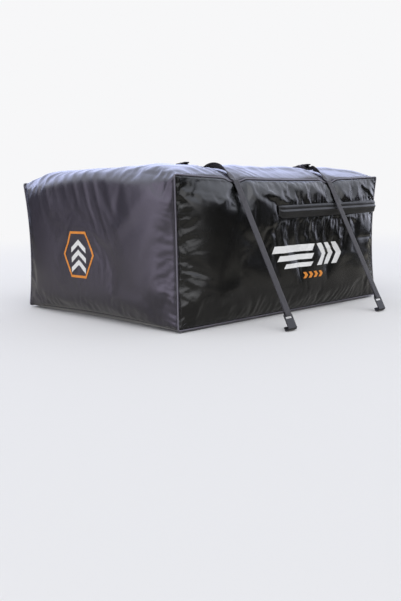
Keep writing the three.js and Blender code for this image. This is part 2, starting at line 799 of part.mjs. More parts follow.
  // Sewn loop: short band that holds the bar and is stitched to the skin.
  const barY = back + 2;
  const loop = [];
  const w = V(1, 0, 0);
  const wrapR = 3.9;
  const loopStation = (y, z, ny, nz) => {
    const n = outDir.clone().multiplyScalar(ny).addScaledVector(upDir, nz).normalize();
    loop.push({ p: at(y, z), w, n });
  };
  const skinUnder = (y, lift) => {
    const g = at(y, 0);
    const s = topAt(h.x, g.y);
    return s.addScaledVector(upDir, lift).sub(seat).dot(upDir);
  };
  const low = 3.1;
  loopStation(barY - 48, skinUnder(barY - 48, low), 0, -1);
  loopStation(barY - 30, skinUnder(barY - 30, low), 0, -1);
  loopStation(barY - 8, -1.6, 0, -1);
  loopStation(barY, 2 - wrapR, 0, -1);
  loopStation(barY + wrapR * 0.72, 2 - wrapR * 0.72, 1, -1);
  loopStation(barY + wrapR, 2, 1, 0);
  loopStation(barY + wrapR * 0.72, 2 + wrapR * 0.72, 1, 1);
  loopStation(barY, 2 + wrapR, 0, 1);
  loopStation(barY - 10, 2.6, 0, 1);
  loopStation(barY - 30, skinUnder(barY - 30, low + webbingThick + restGap), 0, 1);
  loopStation(barY - 46, skinUnder(barY - 46, low + webbingThick + restGap), 0, 1);
  add('anchor_loop_' + h.tag, band(loop, webbingWidth, webbingThick), webbingSlate, 0.85, 0);

  // Strap: free tail, through the buckle, over the edge and down to the hook.
  const run = [];
  const strapLow = plateThick + 0.4 + webbingThick / 2;
  const lay = (y, lift) => {
    const s = topAt(h.x, y);
    const angle = topSlope(h.x, y);
    const n = V(0, -Math.sin(angle), Math.cos(angle));
    return { p: s.addScaledVector(n, lift), w, n };
  };
  const inward = (d) => h.y - h.out * d;
  run.push(lay(inward(88), 8));
  run.push(lay(inward(70), 8.4));
  run.push(lay(inward(50), 9));
  run.push({ p: at(back - 4, 8.2 + webbingThick), w, n: upDir });
  run.push({ p: at(back + 6, 8.2 + webbingThick / 2), w, n: upDir });
  run.push({ p: at(-10, strapLow + 1), w, n: upDir });
  run.push({ p: at(0, strapLow), w, n: upDir });
  run.push({ p: at(front - 4, strapLow), w, n: upDir });
  run.push({ p: at(front + 5, strapLow - 0.6), w, n: upDir });

  // Over the edge the webbing stands up in a half twist, then lies flat again.
  const edge = skin(h.x / hx, h.out, 1);
  const startY = at(front + 5, 0).y;
  const turnIn = h.out < 0 ? 0.85 : 0.3;
  const runLength = Math.abs(edge.y - startY);
  const runSteps = Math.max(4, Math.round(runLength / 22));
  for (let i = 1; i <= runSteps; i++) {
    const t = i / (runSteps + 1);
    const y = lerp(startY, edge.y - h.out * 6, t);
    const station = lay(y, 2.8 + 0.6 * (1 - t));
    const turn = clamp((runLength * (1 - t) - 4) / twistLength, 0, 1);
    const angle = turnIn * Math.sin(Math.PI * turn);
    const wide = V(1, 0, 0).multiplyScalar(Math.cos(angle));
    wide.addScaledVector(station.n, -Math.sin(angle));
    const face = station.n.clone().multiplyScalar(Math.cos(angle));
    face.add(V(Math.sin(angle), 0, 0));
    station.p.addScaledVector(station.n, (webbingWidth / 2) * Math.sin(angle));
    station.w = wide;
    station.n = face;
    run.push(station);
  }
  const down = V(0, h.out * Math.sin(slope), -Math.cos(slope));
  const away = V(0, h.out * Math.cos(slope), Math.sin(slope));
  const clearEdge = pipingRadius + 2.8;
  for (const angle of [1.75, 1.25, 0.85]) {
    const n = V(0, h.out * Math.cos(angle), Math.sin(angle));
    run.push({ p: edge.clone().addScaledVector(n, clearEdge), w, n });
  }
  const overEdge = edge.clone().addScaledVector(away, clearEdge);
  run.push({ p: overEdge, w, n: away });
  // The end of the strap is folded round the bar of the hook and sewn back.
  const loopR = 3.7;
  const hookDrop = (hookPlate + hookThick) * Math.cos(slope);
  const barZ = hookDrop + (hookMouth + hookThick) * Math.sin(slope) + 1;
  const total = (overEdge.z - barZ) / Math.cos(slope);
  const barAt = overEdge.clone().addScaledVector(down, total).addScaledVector(away, -loopR);
  const around = (angle) => {
    const n = away.clone().multiplyScalar(Math.cos(angle)).addScaledVector(down, Math.sin(angle));
    return { p: barAt.clone().addScaledVector(n, loopR), w, n };
  };
  for (const t of [0.25, 0.5, 0.75]) {
    const q = overEdge.clone().addScaledVector(down, t * (total - 60));
    run.push({ p: q, w, n: away });
  }
  run.push({ p: overEdge.clone().addScaledVector(down, total - 14), w, n: away });
  for (const angle of [0, 0.9, 1.57, 2.3, 3.14]) run.push(around(angle));
  const backA = barAt.clone().addScaledVector(down, -12).addScaledVector(away, loopR - 3.2);
  const backB = barAt.clone().addScaledVector(down, -44).addScaledVector(away, loopR - 2.4);
  run.push({ p: backA, w, n: away.clone().negate() });
  run.push({ p: backB, w, n: away.clone().negate() });
  add('strap_' + h.tag, band(run, webbingWidth, webbingThick), webbingSlate, 0.85, 0);

  // Door hook: flat plate with a slot, curled back on itself at its lower end.
  const t2 = hookThick / 2;
  const j = new THREE.Shape();
  const foot = hookPlate;
  const rim = -t2 - hookMouth;
  j.moveTo(-1.5, -t2);
  j.lineTo(foot - 2, -t2);
  j.lineTo(foot, -t2 - 2);
  j.lineTo(foot, rim + 2);
  j.lineTo(foot - 2, rim);
  j.lineTo(foot - 10, rim);
  j.lineTo(foot - 11, rim - t2);
  j.lineTo(foot - 10, rim - hookThick);
  j.lineTo(foot - 0.6, rim - hookThick);
  j.lineTo(foot + hookThick, rim + 0.6);
  j.lineTo(foot + hookThick, t2 - 3.6);
  j.lineTo(foot - 0.6, t2);
  j.lineTo(-1.5, t2);
  j.lineTo(-1.5, -t2);
  const hook = new THREE.ExtrudeGeometry(j, {
    depth: hookWidth,
    bevelEnabled: false,
    curveSegments: 4,
  });
  hook.translate(0, 0, -hookWidth / 2);
  const slotHalf = webbingWidth / 2 + 1.2;
  const slot = box(1.5, 1.5 + hookSlot, -6, 6, -slotHalf, slotHalf);
  const hookCut = cut(hook, slot);
  const lay2 = new THREE.Matrix4().makeBasis(down, away, V(1, 0, 0));
  if (lay2.determinant() < 0) lay2.makeBasis(down, away, V(-1, 0, 0));
  lay2.setPosition(barAt);
  hookCut.applyMatrix4(lay2);
  add('door_hook_' + h.tag, hookCut, hardBlack, 0.45, 0.1);

  // Stitched patch under the sewn loop.
  const patchY = at(barY - 40, 0).y;
  const patch = shaped(4, 4, 1, (a, b, c) => {
    const x = h.x + (a - 0.5) * 44;
    const y = patchY + (b - 0.5) * 48;
    const q = topAt(x, y);
    const angle = topSlope(x, y);
    const n = V(0, -Math.sin(angle), Math.cos(angle));
    return q.addScaledVector(n, lerp(0.9, 1.5, c));
  });
  add('anchor_patch_' + h.tag, patch, slate, 0.6, 0);
}

export default root;
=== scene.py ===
# Soft roof-top luggage box: sewn cloth panels, piping, zipper, rain flaps,
# four hold-down straps with cam buckles and door hooks.
import math

import bmesh
import bpy
import numpy as np
from mathutils import Matrix, Vector
from mathutils.bvhtree import BVHTree


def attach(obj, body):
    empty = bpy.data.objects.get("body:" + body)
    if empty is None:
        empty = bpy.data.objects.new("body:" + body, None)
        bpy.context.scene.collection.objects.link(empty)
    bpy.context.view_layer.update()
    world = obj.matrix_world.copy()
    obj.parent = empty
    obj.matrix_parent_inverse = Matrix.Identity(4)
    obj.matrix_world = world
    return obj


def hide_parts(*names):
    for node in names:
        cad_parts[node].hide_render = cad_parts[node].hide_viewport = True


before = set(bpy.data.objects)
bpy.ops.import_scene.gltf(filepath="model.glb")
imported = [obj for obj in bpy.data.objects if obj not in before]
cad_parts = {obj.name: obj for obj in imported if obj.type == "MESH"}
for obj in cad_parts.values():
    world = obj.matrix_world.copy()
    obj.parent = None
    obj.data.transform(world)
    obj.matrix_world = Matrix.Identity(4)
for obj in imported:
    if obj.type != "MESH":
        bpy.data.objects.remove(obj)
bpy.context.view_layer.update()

MM = 0.001

# Sizes of the box in millimetres, as in the solids
LENGTH, WIDTH, HEIGHT = 980.0, 804.0, 432.0
SEAM_LIFT = 8.0
HX, HY, HZ = LENGTH / 2, WIDTH / 2, HEIGHT / 2
MID_Z = SEAM_LIFT + HZ
PIPING_R = 3.2
CORD_R = 2.5
SEAM_INSET = 2.4
SIDE_BULGE, END_BULGE, CROWN = 28.0, 24.0, 32.0
EDGE_BOW, SEAM_DIP, STRAP_DIP, STRAP_PRESS, STRAP_VALLEY, FOLD_BOW = 10.0, 13.0, 9.0, 12.0, 8.0, 12.0
SIDE_EDGE_DIP, TOP_EDGE_DIP, BOTTOM_FOLD_RISE = 8.0, 6.0, 8.0
TOP_FOLD_R, LOW_FOLD_R, TOP_CORNER_R, LOW_CORNER_R = 44.0, 12.0, 9.0, 8.0
STRAP_X = (-250.0, 206.0)
ZIP_X, ZIP_Z, ZIP_REAR_Z, SLIT = -80.0, 326.0, 335.0, 6.0
FLAP_LOW, FLAP_HIGH = 20.0, 21.0
WEB_W, WEB_T = 25.0, 1.8
STRAP_SLOPE = math.atan(0.524)
TWIST = 116.0
PANEL_WALL, FLAP_WALL, PATCH_WALL = 1.0, 1.2, 0.6


# The filled shape of the bag
def clamp(v, a, b):
    return np.minimum(b, np.maximum(a, v))


def lerp(a, b, t):
    return a + (b - a) * t


def smooth(a, b, t):
    s = clamp((t - a) / (b - a), 0.0, 1.0)
    return s * s * (3 - 2 * s)


def bow(t):
    return 1 - t * t


def plateau(t, p):
    return 1 - np.abs(t) ** p


def bump(d, width):
    return np.exp(-(d * d) / (width * width))


def trough(d, width):
    return np.exp(-((d / width) ** 4))


def zip_z(x):
    return lerp(ZIP_Z, ZIP_REAR_Z, clamp((x - ZIP_X) / (HX - ZIP_X), 0.0, 1.0))


def crease(px, py, line):
    """A long soft fold from a to b that fades at both ends."""
    ax, ay, bx, by, width, height = line
    dx, dy = bx - ax, by - ay
    length2 = dx * dx + dy * dy
    t = ((px - ax) * dx + (py - ay) * dy) / length2
    off = ((px - ax) * dy - (py - ay) * dx) / math.sqrt(length2)
    along = np.sin(math.pi * clamp(t, 0.0, 1.0)) ** 0.7
    k = off / width
    return height * along * (1 - k * k) * np.exp(-k * k * 0.8)


SIDE_FOLDS = [
    (-150, 432, -60, 340, 26, 4.5), (-40, 436, 30, 350, 24, -4), (60, 436, 40, 352, 22, 4),
    (130, 434, 190, 352, 24, -4.5), (232, 430, 268, 352, 20, 5), (330, 436, 300, 352, 22, -4),
    (400, 436, 452, 350, 22, 4.5), (-400, 420, -240, 330, 30, 5), (-470, 396, -330, 300, 26, -4),
    (-270, 420, -180, 300, 26, -4), (-60, 300, -30, 200, 24, -3.5), (70, 302, 90, 215, 18, 3.5),
    (150, 304, 150, 200, 18, -3.5), (230, 306, 216, 190, 20, 3.5), (330, 310, 306, 180, 24, -3.5),
    (450, 316, 392, 150, 30, 6), (-480, 60, -260, 110, 34, 4), (-220, 40, 60, 66, 30, -3.5),
    (120, 34, 400, 60, 30, 4),
]
END_FOLDS = [
    (-330, 400, -120, 250, 34, 4), (-380, 330, -250, 90, 28, -3.5), (-200, 430, -150, 300, 26, -3.5),
    (250, 410, 90, 290, 36, 3.5), (370, 390, 290, 200, 30, 4), (-360, 40, -130, 90, 30, 4),
    (60, 30, 330, 70, 32, 4),
]
TOP_FOLDS = [
    (-470, -330, -300, -120, 40, 4), (-440, -80, -250, -20, 36, -3.5), (-470, 300, -310, 110, 40, 4),
    (-180, -360, -80, -140, 36, 4), (-60, -370, 40, -180, 34, -3.5), (90, -350, 120, -120, 36, 3.5),
    (-160, 340, -60, 130, 40, 3.5), (60, 350, 120, 150, 36, -3.5), (300, -350, 400, -120, 40, 4),
    (300, 330, 440, 120, 40, 4),
]


def fold_sum(px, py, lines):
    h = np.zeros_like(px)
    for line in lines:
        h = h + crease(px, py, line)
    return h


def ripple(t, seed, low, high, waves=5):
    """A seeded smooth wander between about -1 and 1."""
    draw = np.random.default_rng(seed)
    total = np.zeros_like(t)
    for _ in range(waves):
        k = draw.uniform(low, high)
        total = total + np.sin(t * k + draw.uniform(0, 2 * math.pi))
    return total / math.sqrt(waves)


def puckers(along, away, pitch, reach, depth, seed):
    """Short gathers that start at a seam and die out away from it."""
    phase = 2 * math.pi * along / pitch + 2.2 * ripple(along, seed, 0.4 / pitch, 1.6 / pitch)
    sharp = (0.5 + 0.5 * np.cos(phase)) ** 2 - 0.375
    strength = 0.55 + 0.45 * ripple(along, seed + 1, 0.1 / pitch, 0.5 / pitch, 4)
    length = reach * (0.75 + 0.35 * ripple(along, seed + 2, 0.3 / pitch, 0.9 / pitch, 4))
    fade = np.exp(-((away / np.maximum(length, 2.0)) ** 2))
    return depth * sharp * strength * fade


def side_soft(x, z):
    return fold_sum(x, z, SIDE_FOLDS) * smooth(0.0, 34.0, np.abs(z - zip_z(x)) - FLAP_LOW)


def gather_sum(rows):
    """Gathers along several seams: each row is place along, place away, slant, pitch, reach, depth, seed."""
    h = 0.0
    for along, away, slant, pitch, reach, depth, seed in rows:
        h = h + puckers(along + slant * away, away, pitch, reach, depth, seed)
    return h


def sewn_down(*away):
    """Nothing stands up within a few millimetres of a seam."""
    return smooth(0.0, 9.0, np.minimum.reduce(away))


def side_gathers(x, z):
    """Small gathers of the black panel: they start at each seam and at the zipper."""
    top, low, front, rear = SEAM_LIFT + HEIGHT - z, z - SEAM_LIFT, x + HX, HX - x
    h = 0.8 * ripple(x * 0.9 + z * 0.35, 11, 0.02, 0.05) * ripple(z - x * 0.2, 12, 0.015, 0.04)
    h = h + puckers(x + 0.15 * top, top, 36.0, 70.0, 4.0, 21) * smooth(60.0, 220.0, front)
    h = h + gather_sum([
        (x, top, 0.4, 15.0, 26.0, 1.8, 24),
        (z, front, 0.3, 24.0, 50.0, 3.4, 31), (z, front, -0.4, 14.0, 36.0, 3.0, 37),
        (z, rear, -0.6, 24.0, 50.0, 3.4, 34), (z, rear, 0.4, 12.0, 20.0, 1.4, 38),
        (x, low, -0.3, 26.0, 28.0, 2.0, 41),
    ])
    under, over = zip_z(x) - FLAP_LOW - z, z - zip_z(x) - FLAP_HIGH
    by_zip = smooth(-100.0, -60.0, x)
    h = h + puckers(x + 0.2 * under, under, 20.0, 52.0, 2.6, 51) * by_zip * (under > 0)
    h = h + puckers(x, over, 24.0, 30.0, 2.2, 54) * by_zip * (over > 0)
    quiet = smooth(0.0, 10.0, np.abs(z - zip_z(x)) - FLAP_LOW)
    return h * sewn_down(top, low, front, rear) * np.where(x > ZIP_X - FLAP_LOW, quiet, 1.0)


def end_soft(y, z, front, fine):
    keep = 1.0 if front else 1 - smooth(200.0, 300.0, z)
    return fold_sum(y, z, END_FOLDS) * keep * (0.6 if fine else 1.0)


def end_gathers(y, z, front):
    near, far, low, drop = y + HY, HY - y, z - SEAM_LIFT, SEAM_LIFT + HEIGHT - z
    h = 0.8 * ripple(y * 0.8 + z * 0.7, 61, 0.015, 0.04) * ripple(z - y * 0.3, 62, 0.012, 0.03)
    h = h + gather_sum([
        (z, near, -0.3, 20.0, 30.0, 2.0, 71), (z, far, 0.0, 22.0, 30.0, 1.8, 74),
        (y, low, 0.4, 28.0, 40.0, 2.4, 77),
    ])
    if front:
        h = h + gather_sum([(y, drop, 0.45, 62.0, 130.0, 2.4, 91), (y, drop, -0.5, 37.0, 60.0, 1.0, 94)])
    else:
        h = h * smooth(0.0, 40.0, np.abs(z - ZIP_REAR_Z) - 24)
    return h * sewn_down(near, far, low)


def top_soft(x, y, fine):
    h = fold_sum(x, y, TOP_FOLDS)
    if fine:
        near, far, front, rear = y + HY, HY - y, x + HX, HX - x
        h = h + 0.9 * ripple(x * 0.7 + y * 0.5, 81, 0.015, 0.04) * ripple(y - x * 0.4, 82, 0.012, 0.03)
        h = h + gather_sum([
            (x, near, 0.5, 34.0, 90.0, 3.4, 84), (x, far, -0.4, 38.0, 90.0, 3.0, 87),
            (y, front, 0.9, 66.0, 150.0, 2.4, 97), (y, rear, 0.0, 50.0, 90.0, 2.0, 99),
        ])
    keep = 1.0
    for sx in STRAP_X:
        keep = keep * (1 - bump(x - sx, 62.0))
    return h * keep


def fold_hold(v, w):
    """The wrap has no seam at its top folds, so it stays full there."""
    return 0.95 * np.maximum(bow(v), 0.0) ** 0.65 * smooth(0.5, 0.9, w)


def d_end(v, w, front, fine):
    y, z = v * HY, MID_Z + w * HZ
    full = plateau(v, 8) * (1 - (1 - plateau(w, 8)) * (1 - fold_hold(v, w)))
    edges = -(EDGE_BOW * bow(w) + FOLD_BOW * bow(v))
    d = (1 - full) * edges + full * (END_BULGE + end_soft(y, z, front, fine))
    return d + end_gathers(y, z, front) if fine else d


def d_side(u, w, fine):
    x, z = u * HX, MID_Z + w * HZ
    full = plateau(u, 8) * plateau(w, 8)
    edges = -(EDGE_BOW * bow(w) + SIDE_EDGE_DIP * bow(u) * np.where(w > 0, 1.0, 0.3))
    press = 0.0
    for sx in STRAP_X:
        press = press + trough(x - sx, 46.0) * smooth(0.6, 0.84, w)
    d = (1 - full) * edges + full * (SIDE_BULGE - STRAP_PRESS * press + side_soft(x, z))
    return d + side_gathers(x, z) * (1 - np.minimum(press, 1.0)) if fine else d


def d_top(u, v, w, fine):
    full = (1 - (1 - plateau(u, 10)) * (1 - fold_hold(v, w))) * plateau(v, 10)
    x = u * HX
    press = 0.0
    for sx in STRAP_X:
        press = press + trough(x - sx, 38.0)
    edges = -(SEAM_DIP * bow(u) + STRAP_DIP * press + TOP_EDGE_DIP * bow(v))
    valley = STRAP_VALLEY * (1 - 0.6 * smooth(-0.1, 0.5, v))
    return (1 - full) * edges + full * (CROWN - valley * press + top_soft(x, v * HY, fine))


def d_bottom(u, v):
    ru = smooth(0.93, 1.0, np.abs(u))
    rv = smooth(0.93, 1.0, np.abs(v))
    return BOTTOM_FOLD_RISE * bow(v) * ru - SEAM_LIFT * (1 - ru) * (1 - rv)


def cube(t):
    return np.sign(t) * np.abs(t) ** 3


def skin(u, v, w, fine=False):
    """Points of the outer skin for box coordinates from -1 to 1."""
    u, v, w = np.broadcast_arrays(np.asarray(u, float), np.asarray(v, float), np.asarray(w, float))
    front = d_end(v, w, True, fine)
    rear = d_end(v, w, False, fine)
    x = u * HX + cube(u) * np.where(u < 0, front, rear)
    y = v * HY + cube(v) * d_side(u, w, fine)
    rise = cube(w) * d_top(u, v, w, fine)
    z = MID_Z + w * HZ + np.where(w > 0, rise, np.abs(w) ** 9 * d_bottom(u, v))
    # Rounded folds between the ends and the top or bottom.
    on_wrap = np.maximum(np.abs(u), np.abs(w)) > 1 - 1e-9
    middle = np.where(w > 0, TOP_FOLD_R, LOW_FOLD_R)
    corner = np.where(w > 0, TOP_CORNER_R, LOW_CORNER_R)
    radius = corner + (middle - corner) * np.sqrt(np.maximum(bow(v), 0.0))
    a = (1 - np.abs(u)) * HX
    b = (1 - np.abs(w)) * HZ
    s = np.where(np.abs(u) >= 1 - 1e-9, b, -a)
    near = on_wrap & (np.abs(s) < radius)
    angle = (s / radius + 1) * math.pi / 4
    shift_x = -radius + radius * np.sin(angle) - np.where(s < 0, s, 0.0)
    shift_z = -radius + radius * np.cos(angle) - np.where(s < 0, 0.0, -s)
    x = x + np.sign(u) * np.where(near, shift_x, 0.0)
    z = z + np.sign(w) * np.where(near, shift_z, 0.0)
    return np.stack([x, y, z], axis=-1)


def side_face(side, fine=True):
    return lambda a, b: skin(clamp(a / HX, -1, 1), side, clamp((b - MID_Z) / HZ, -1, 1), fine)


def wrap_face(s, y, fine=True):
    """Running length s from the front bottom edge, over the top, to the rear."""
    s = np.asarray(s, float)
    u = clamp(-1 + (s - HEIGHT) / HX, -1, 1)
    w = np.where(s <= HEIGHT, -1 + s / HZ, 1 - (s - HEIGHT - LENGTH) / HZ)
    return skin(u, y / HY, clamp(w, -1, 1), fine)


def base_face(s, y, fine=True):
    s = np.asarray(s, float)
    u = clamp(-1 + s / HX, -1, 1)
    w = clamp(-1 + (s - LENGTH) / HZ, -1, 1)
    return skin(u, y / HY, w, fine)


def facing(f, a, b, sense):
    """The outward direction of a face at a and b, from points a little apart."""
    near = 0.6
    pa = f(a + near, b) - f(a - near, b)
    pb = f(a, b + near) - f(a, b - near)
    n = np.cross(pa, pb) * sense
    return n / np.maximum(np.linalg.norm(n, axis=-1, keepdims=True), 1e-9)


def unit(rows):
    return rows / np.linalg.norm(rows, axis=1, keepdims=True)


def run_length_along(points):
    """Distance from the first point to each point of a path."""
    return np.concatenate([[0], np.cumsum(np.linalg.norm(np.diff(points, axis=0), axis=1))])


# Mesh helpers
def finish_mesh(name, bm, material, smooth_faces=True):
    bmesh.ops.recalc_face_normals(bm, faces=bm.faces)
    mesh = bpy.data.meshes.new(name)
    bm.to_mesh(mesh)
    bm.free()
    for p in mesh.polygons:
        p.use_smooth = smooth_faces
    obj = bpy.data.objects.new(name, mesh)
    bpy.context.scene.collection.objects.link(obj)
    mesh.materials.append(material)
    return obj


def unit_grid(na, nb):
    bm = bmesh.new()
    bmesh.ops.create_grid(bm, x_segments=na, y_segments=nb, size=0.5)
    bm.verts.ensure_lookup_table()
    flat = np.array([v.co[:2] for v in bm.verts]) + 0.5
    return bm, flat


def lay_uv(bm, values):
    layer = bm.loops.layers.uv.new("cloth")
    bm.verts.index_update()
    for face in bm.faces:
        for loop in face.loops:
            loop[layer].uv = values[loop.vert.index]


def place(bm, points):
    for v, p in zip(bm.verts, points):
        v.co = Vector(p) * MM


def add_wall(obj, thick, offset=-1):
    wall = obj.modifiers.new("wall", "SOLIDIFY")
    wall.thickness = thick * MM
    wall.offset = offset


def cloth_panel(name, f, a_range, b_range, cell, sense, material):
    """A sewn panel on a face of the bag, with UVs in metres of cloth."""
    na = max(2, round((a_range[1] - a_range[0]) / cell))
    nb = max(2, round((b_range[1] - b_range[0]) / cell))
    bm, flat = unit_grid(na, nb)
    a = lerp(a_range[0], a_range[1], flat[:, 0])
    b = lerp(b_range[0], b_range[1], flat[:, 1])
    place(bm, f(a, b))
    lay_uv(bm, np.stack([a, b], axis=-1) * MM)
    obj = finish_mesh(name, bm, material)
    point_outward(obj, f, a, b, sense)
    return obj, a, b


def settle(obj, held, growth, pressure, cap):
    """Lets a panel swell and buckle between its seams, then keeps the result.

    held is true for each vertex where the cloth is sewn or strapped down, and
    cap is about the most that the cloth may move, in millimetres.
    """
    mesh = obj.data
    start = np.empty(len(mesh.vertices) * 3)
    mesh.vertices.foreach_get("co", start)
    group = obj.vertex_groups.new(name="held")
    group.add(np.flatnonzero(held).tolist(), 1.0, "REPLACE")
    sim = obj.modifiers.new("settle", "CLOTH")
    c = sim.settings
    c.quality = 4
    c.mass = 0.12
    c.tension_stiffness = c.compression_stiffness = 24
    c.shear_stiffness = 8
    c.bending_stiffness = 0.12
    c.tension_damping = c.compression_damping = c.shear_damping = 8
    c.bending_damping = 0.5
    c.air_damping = 3
    c.shrink_min = c.shrink_max = -growth
    c.use_pressure = True
    c.uniform_pressure_force = pressure
    c.vertex_group_mass = "held"
    c.effector_weights.gravity = 0
    sim.collision_settings.use_collision = False
    sim.collision_settings.use_self_collision = False
    scene = bpy.context.scene
    for f in range(1, SETTLE_FRAMES + 1):
        scene.frame_set(f)
    seen = obj.evaluated_get(bpy.context.evaluated_depsgraph_get()).data
    moved = np.empty(len(mesh.vertices) * 3)
    seen.vertices.foreach_get("co", moved)
    step = (moved - start).reshape(-1, 3)
    length = np.linalg.norm(step, axis=1, keepdims=True)
    limit = cap * MM
    step *= limit * np.tanh(length / limit) / np.maximum(length, 1e-9)
    obj.modifiers.remove(sim)
    mesh.vertices.foreach_set("co", start + step.ravel())
    mesh.update()
    scene.frame_set(1)


def turn_out(obj, face, want):
    """Turns a sheet over when the given face looks away from the wanted direction."""
    if Vector(want).dot(face.normal) < 0:
        obj.data.flip_normals()


def point_outward(obj, f, a, b, sense):
    mesh = obj.data
    middle = mesh.polygons[len(mesh.polygons) // 2]
    v = middle.vertices[0]
    turn_out(obj, middle, facing(f, a[v:v + 1], b[v:v + 1], sense)[0])


def fasten(obj, node=None):
    """Rides a piece on the carrier, in place of a solid."""
    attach(obj, "carrier")
    if node:
        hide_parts(node)


def smooth_stations(stations, per_span=6):
    """Rounds a coarse path: each station is point, width and face direction."""
    rows = np.array([np.concatenate(s) for s in stations], float)
    n = len(rows)
    out = []
    for i in range(n - 1):
        p0, p1, p2, p3 = rows[max(i - 1, 0)], rows[i], rows[i + 1], rows[min(i + 2, n - 1)]
        span = np.linalg.norm(p2[:3] - p1[:3])
        before = max(np.linalg.norm(p1[:3] - p0[:3]), 1e-6)
        after = max(np.linalg.norm(p3[:3] - p2[:3]), 1e-6)
        m1 = (p2 - p1) if i == 0 else ((p1 - p0) / before + (p2 - p1) / span) * 0.5 * span
        m2 = (p2 - p1) if i == n - 2 else ((p2 - p1) / span + (p3 - p2) / after) * 0.5 * span
        for k in range(per_span):
            t = k / per_span
            h00, h10 = 2 * t**3 - 3 * t**2 + 1, t**3 - 2 * t**2 + t
            h01, h11 = -2 * t**3 + 3 * t**2, t**3 - t**2
            out.append(h00 * p1 + h10 * m1 + h01 * p2 + h11 * m2)
    out.append(rows[-1])
    out = np.array(out)
    for c in (3, 6):
        out[:, c:c + 3] = unit(out[:, c:c + 3])
    return out


def ring_path(name, rows, outline, material, flat_band=False):
    """Carries a closed outline along stations and closes both ends.

    A flat band's cloth coordinate runs across it, and a cord's runs round it.
    """
    na, nb = len(rows) - 1, len(outline)
    bm, flat = unit_grid(na, nb)
    ia = np.rint(flat[:, 0] * na).astype(int)
    ib = np.rint(flat[:, 1] * nb).astype(int)
    shape = np.array(list(outline) + [outline[0]], float)
    row = rows[ia]
    across, up = shape[ib, 0:1], shape[ib, 1:2]
    points = row[:, 0:3] + row[:, 3:6] * across + row[:, 6:9] * up
    run = run_length_along(rows[:, :3])
    second = shape[ib, 0] if flat_band else run_length_along(shape)[ib]
    uv = np.stack([run[ia], second], axis=-1) * MM
    place(bm, points)
    lay_uv(bm, uv)
    bmesh.ops.remove_doubles(bm, verts=bm.verts, dist=1e-6)
    rim = [e for e in bm.edges if e.is_boundary]
    bmesh.ops.holes_fill(bm, edges=rim)
    return finish_mesh(name, bm, material)


def round_outline(radius, sides=12):
    turns = [2 * math.pi * i / sides for i in range(sides)]
    return [(radius * math.cos(turn), radius * math.sin(turn)) for turn in turns]


def web_outline(steps=6, thinner=0.12):
    """Flat band with rounded edges and a slightly thinner middle."""
    half, r, flat = WEB_W / 2, WEB_T / 2, WEB_W - WEB_T
    shares = [i / steps for i in range(steps + 1)]
    top = [(-half + r + flat * t, r - thinner * math.sin(math.pi * t)) for t in shares]
    bottom = [(-x, -y) for x, y in top]
    return top + [(half, 0.0)] + bottom + [(-half, 0.0)]


# Materials
def new_material(name):
    m = bpy.data.materials.new(name)
    m.use_nodes = True
    return m, m.node_tree.nodes, m.node_tree.links, m.node_tree.nodes["Principled BSDF"]


def group_sockets(name, inputs, outputs):
    g = bpy.data.node_groups.new(name, "ShaderNodeTree")
    for label, kind, value in inputs:
        s = g.interface.new_socket(name=label, in_out="INPUT", socket_type=kind)
        if value is not None:
            s.default_value = value
    for label, kind in outputs:
        g.interface.new_socket(name=label, in_out="OUTPUT", socket_type=kind)
    return g, g.nodes.new("NodeGroupInput"), g.nodes.new("NodeGroupOutput")


def math_node(nodes, links, op, a, b=None, use_clamp=False):
    n = nodes.new("ShaderNodeMath")
    n.operation = op
    n.use_clamp = use_clamp
    for i, value in enumerate((a, b)):
        if value is None:
            continue
        if isinstance(value, (int, float)):
            n.inputs[i].default_value = value
        else:
            links.new(value, n.inputs[i])
    return n.outputs[0]


def mix_colour(nodes, links, factor, a, b):
    n = nodes.new("ShaderNodeMix")
    n.data_type = "RGBA"
    for value, socket in ((factor, n.inputs[0]), (a, n.inputs[6]), (b, n.inputs[7])):
        if isinstance(value, (int, float)):
            socket.default_value = value
        elif isinstance(value, tuple):
            socket.default_value = (*value, 1.0)
        else:
            links.new(value, socket)
    return n.outputs[2]


def cloth_uv(nodes):
    n = nodes.new("ShaderNodeUVMap")
    n.uv_map = "cloth"
    return n.outputs[0]


def noise(nodes, links, coordinate, scale, detail, rough):
    n = nodes.new("ShaderNodeTexNoise")
    n.inputs["Scale"].default_value = scale
    n.inputs["Detail"].default_value = detail
    n.inputs["Roughness"].default_value = rough
    links.new(coordinate, n.inputs["Vector"])
    return n.outputs["Fac"]


def make_weave_group():
    """Plain weave: height and thread shade from cloth coordinates in metres."""
    g, gin, gout = group_sockets(
        "plain_weave",
        [("Vector", "NodeSocketVector", None), ("Threads", "NodeSocketFloat", 1500.0)],
        [("Height", "NodeSocketFloat"), ("Shade", "NodeSocketFloat")],
    )
    nodes, links = g.nodes, g.links
    split = nodes.new("ShaderNodeSeparateXYZ")
    links.new(gin.outputs["Vector"], split.inputs[0])
    waves = []
    for axis in (0, 1):
        t = math_node(nodes, links, "MULTIPLY", split.outputs[axis], gin.outputs["Threads"])
        waves.append(math_node(nodes, links, "SINE", math_node(nodes, links, "MULTIPLY", t, math.pi)))
    product = math_node(nodes, links, "MULTIPLY", waves[0], waves[1])
    warp = math_node(nodes, links, "ABSOLUTE", waves[0])
    weft = math_node(nodes, links, "ABSOLUTE", waves[1])
    over = math_node(nodes, links, "GREATER_THAN", product, 0.0)
    mixed = nodes.new("ShaderNodeMix")
    links.new(over, mixed.inputs[0])
    links.new(warp, mixed.inputs[2])
    links.new(weft, mixed.inputs[3])
    links.new(mixed.outputs[0], gout.inputs["Height"])
    links.new(over, gout.inputs["Shade"])
    return g


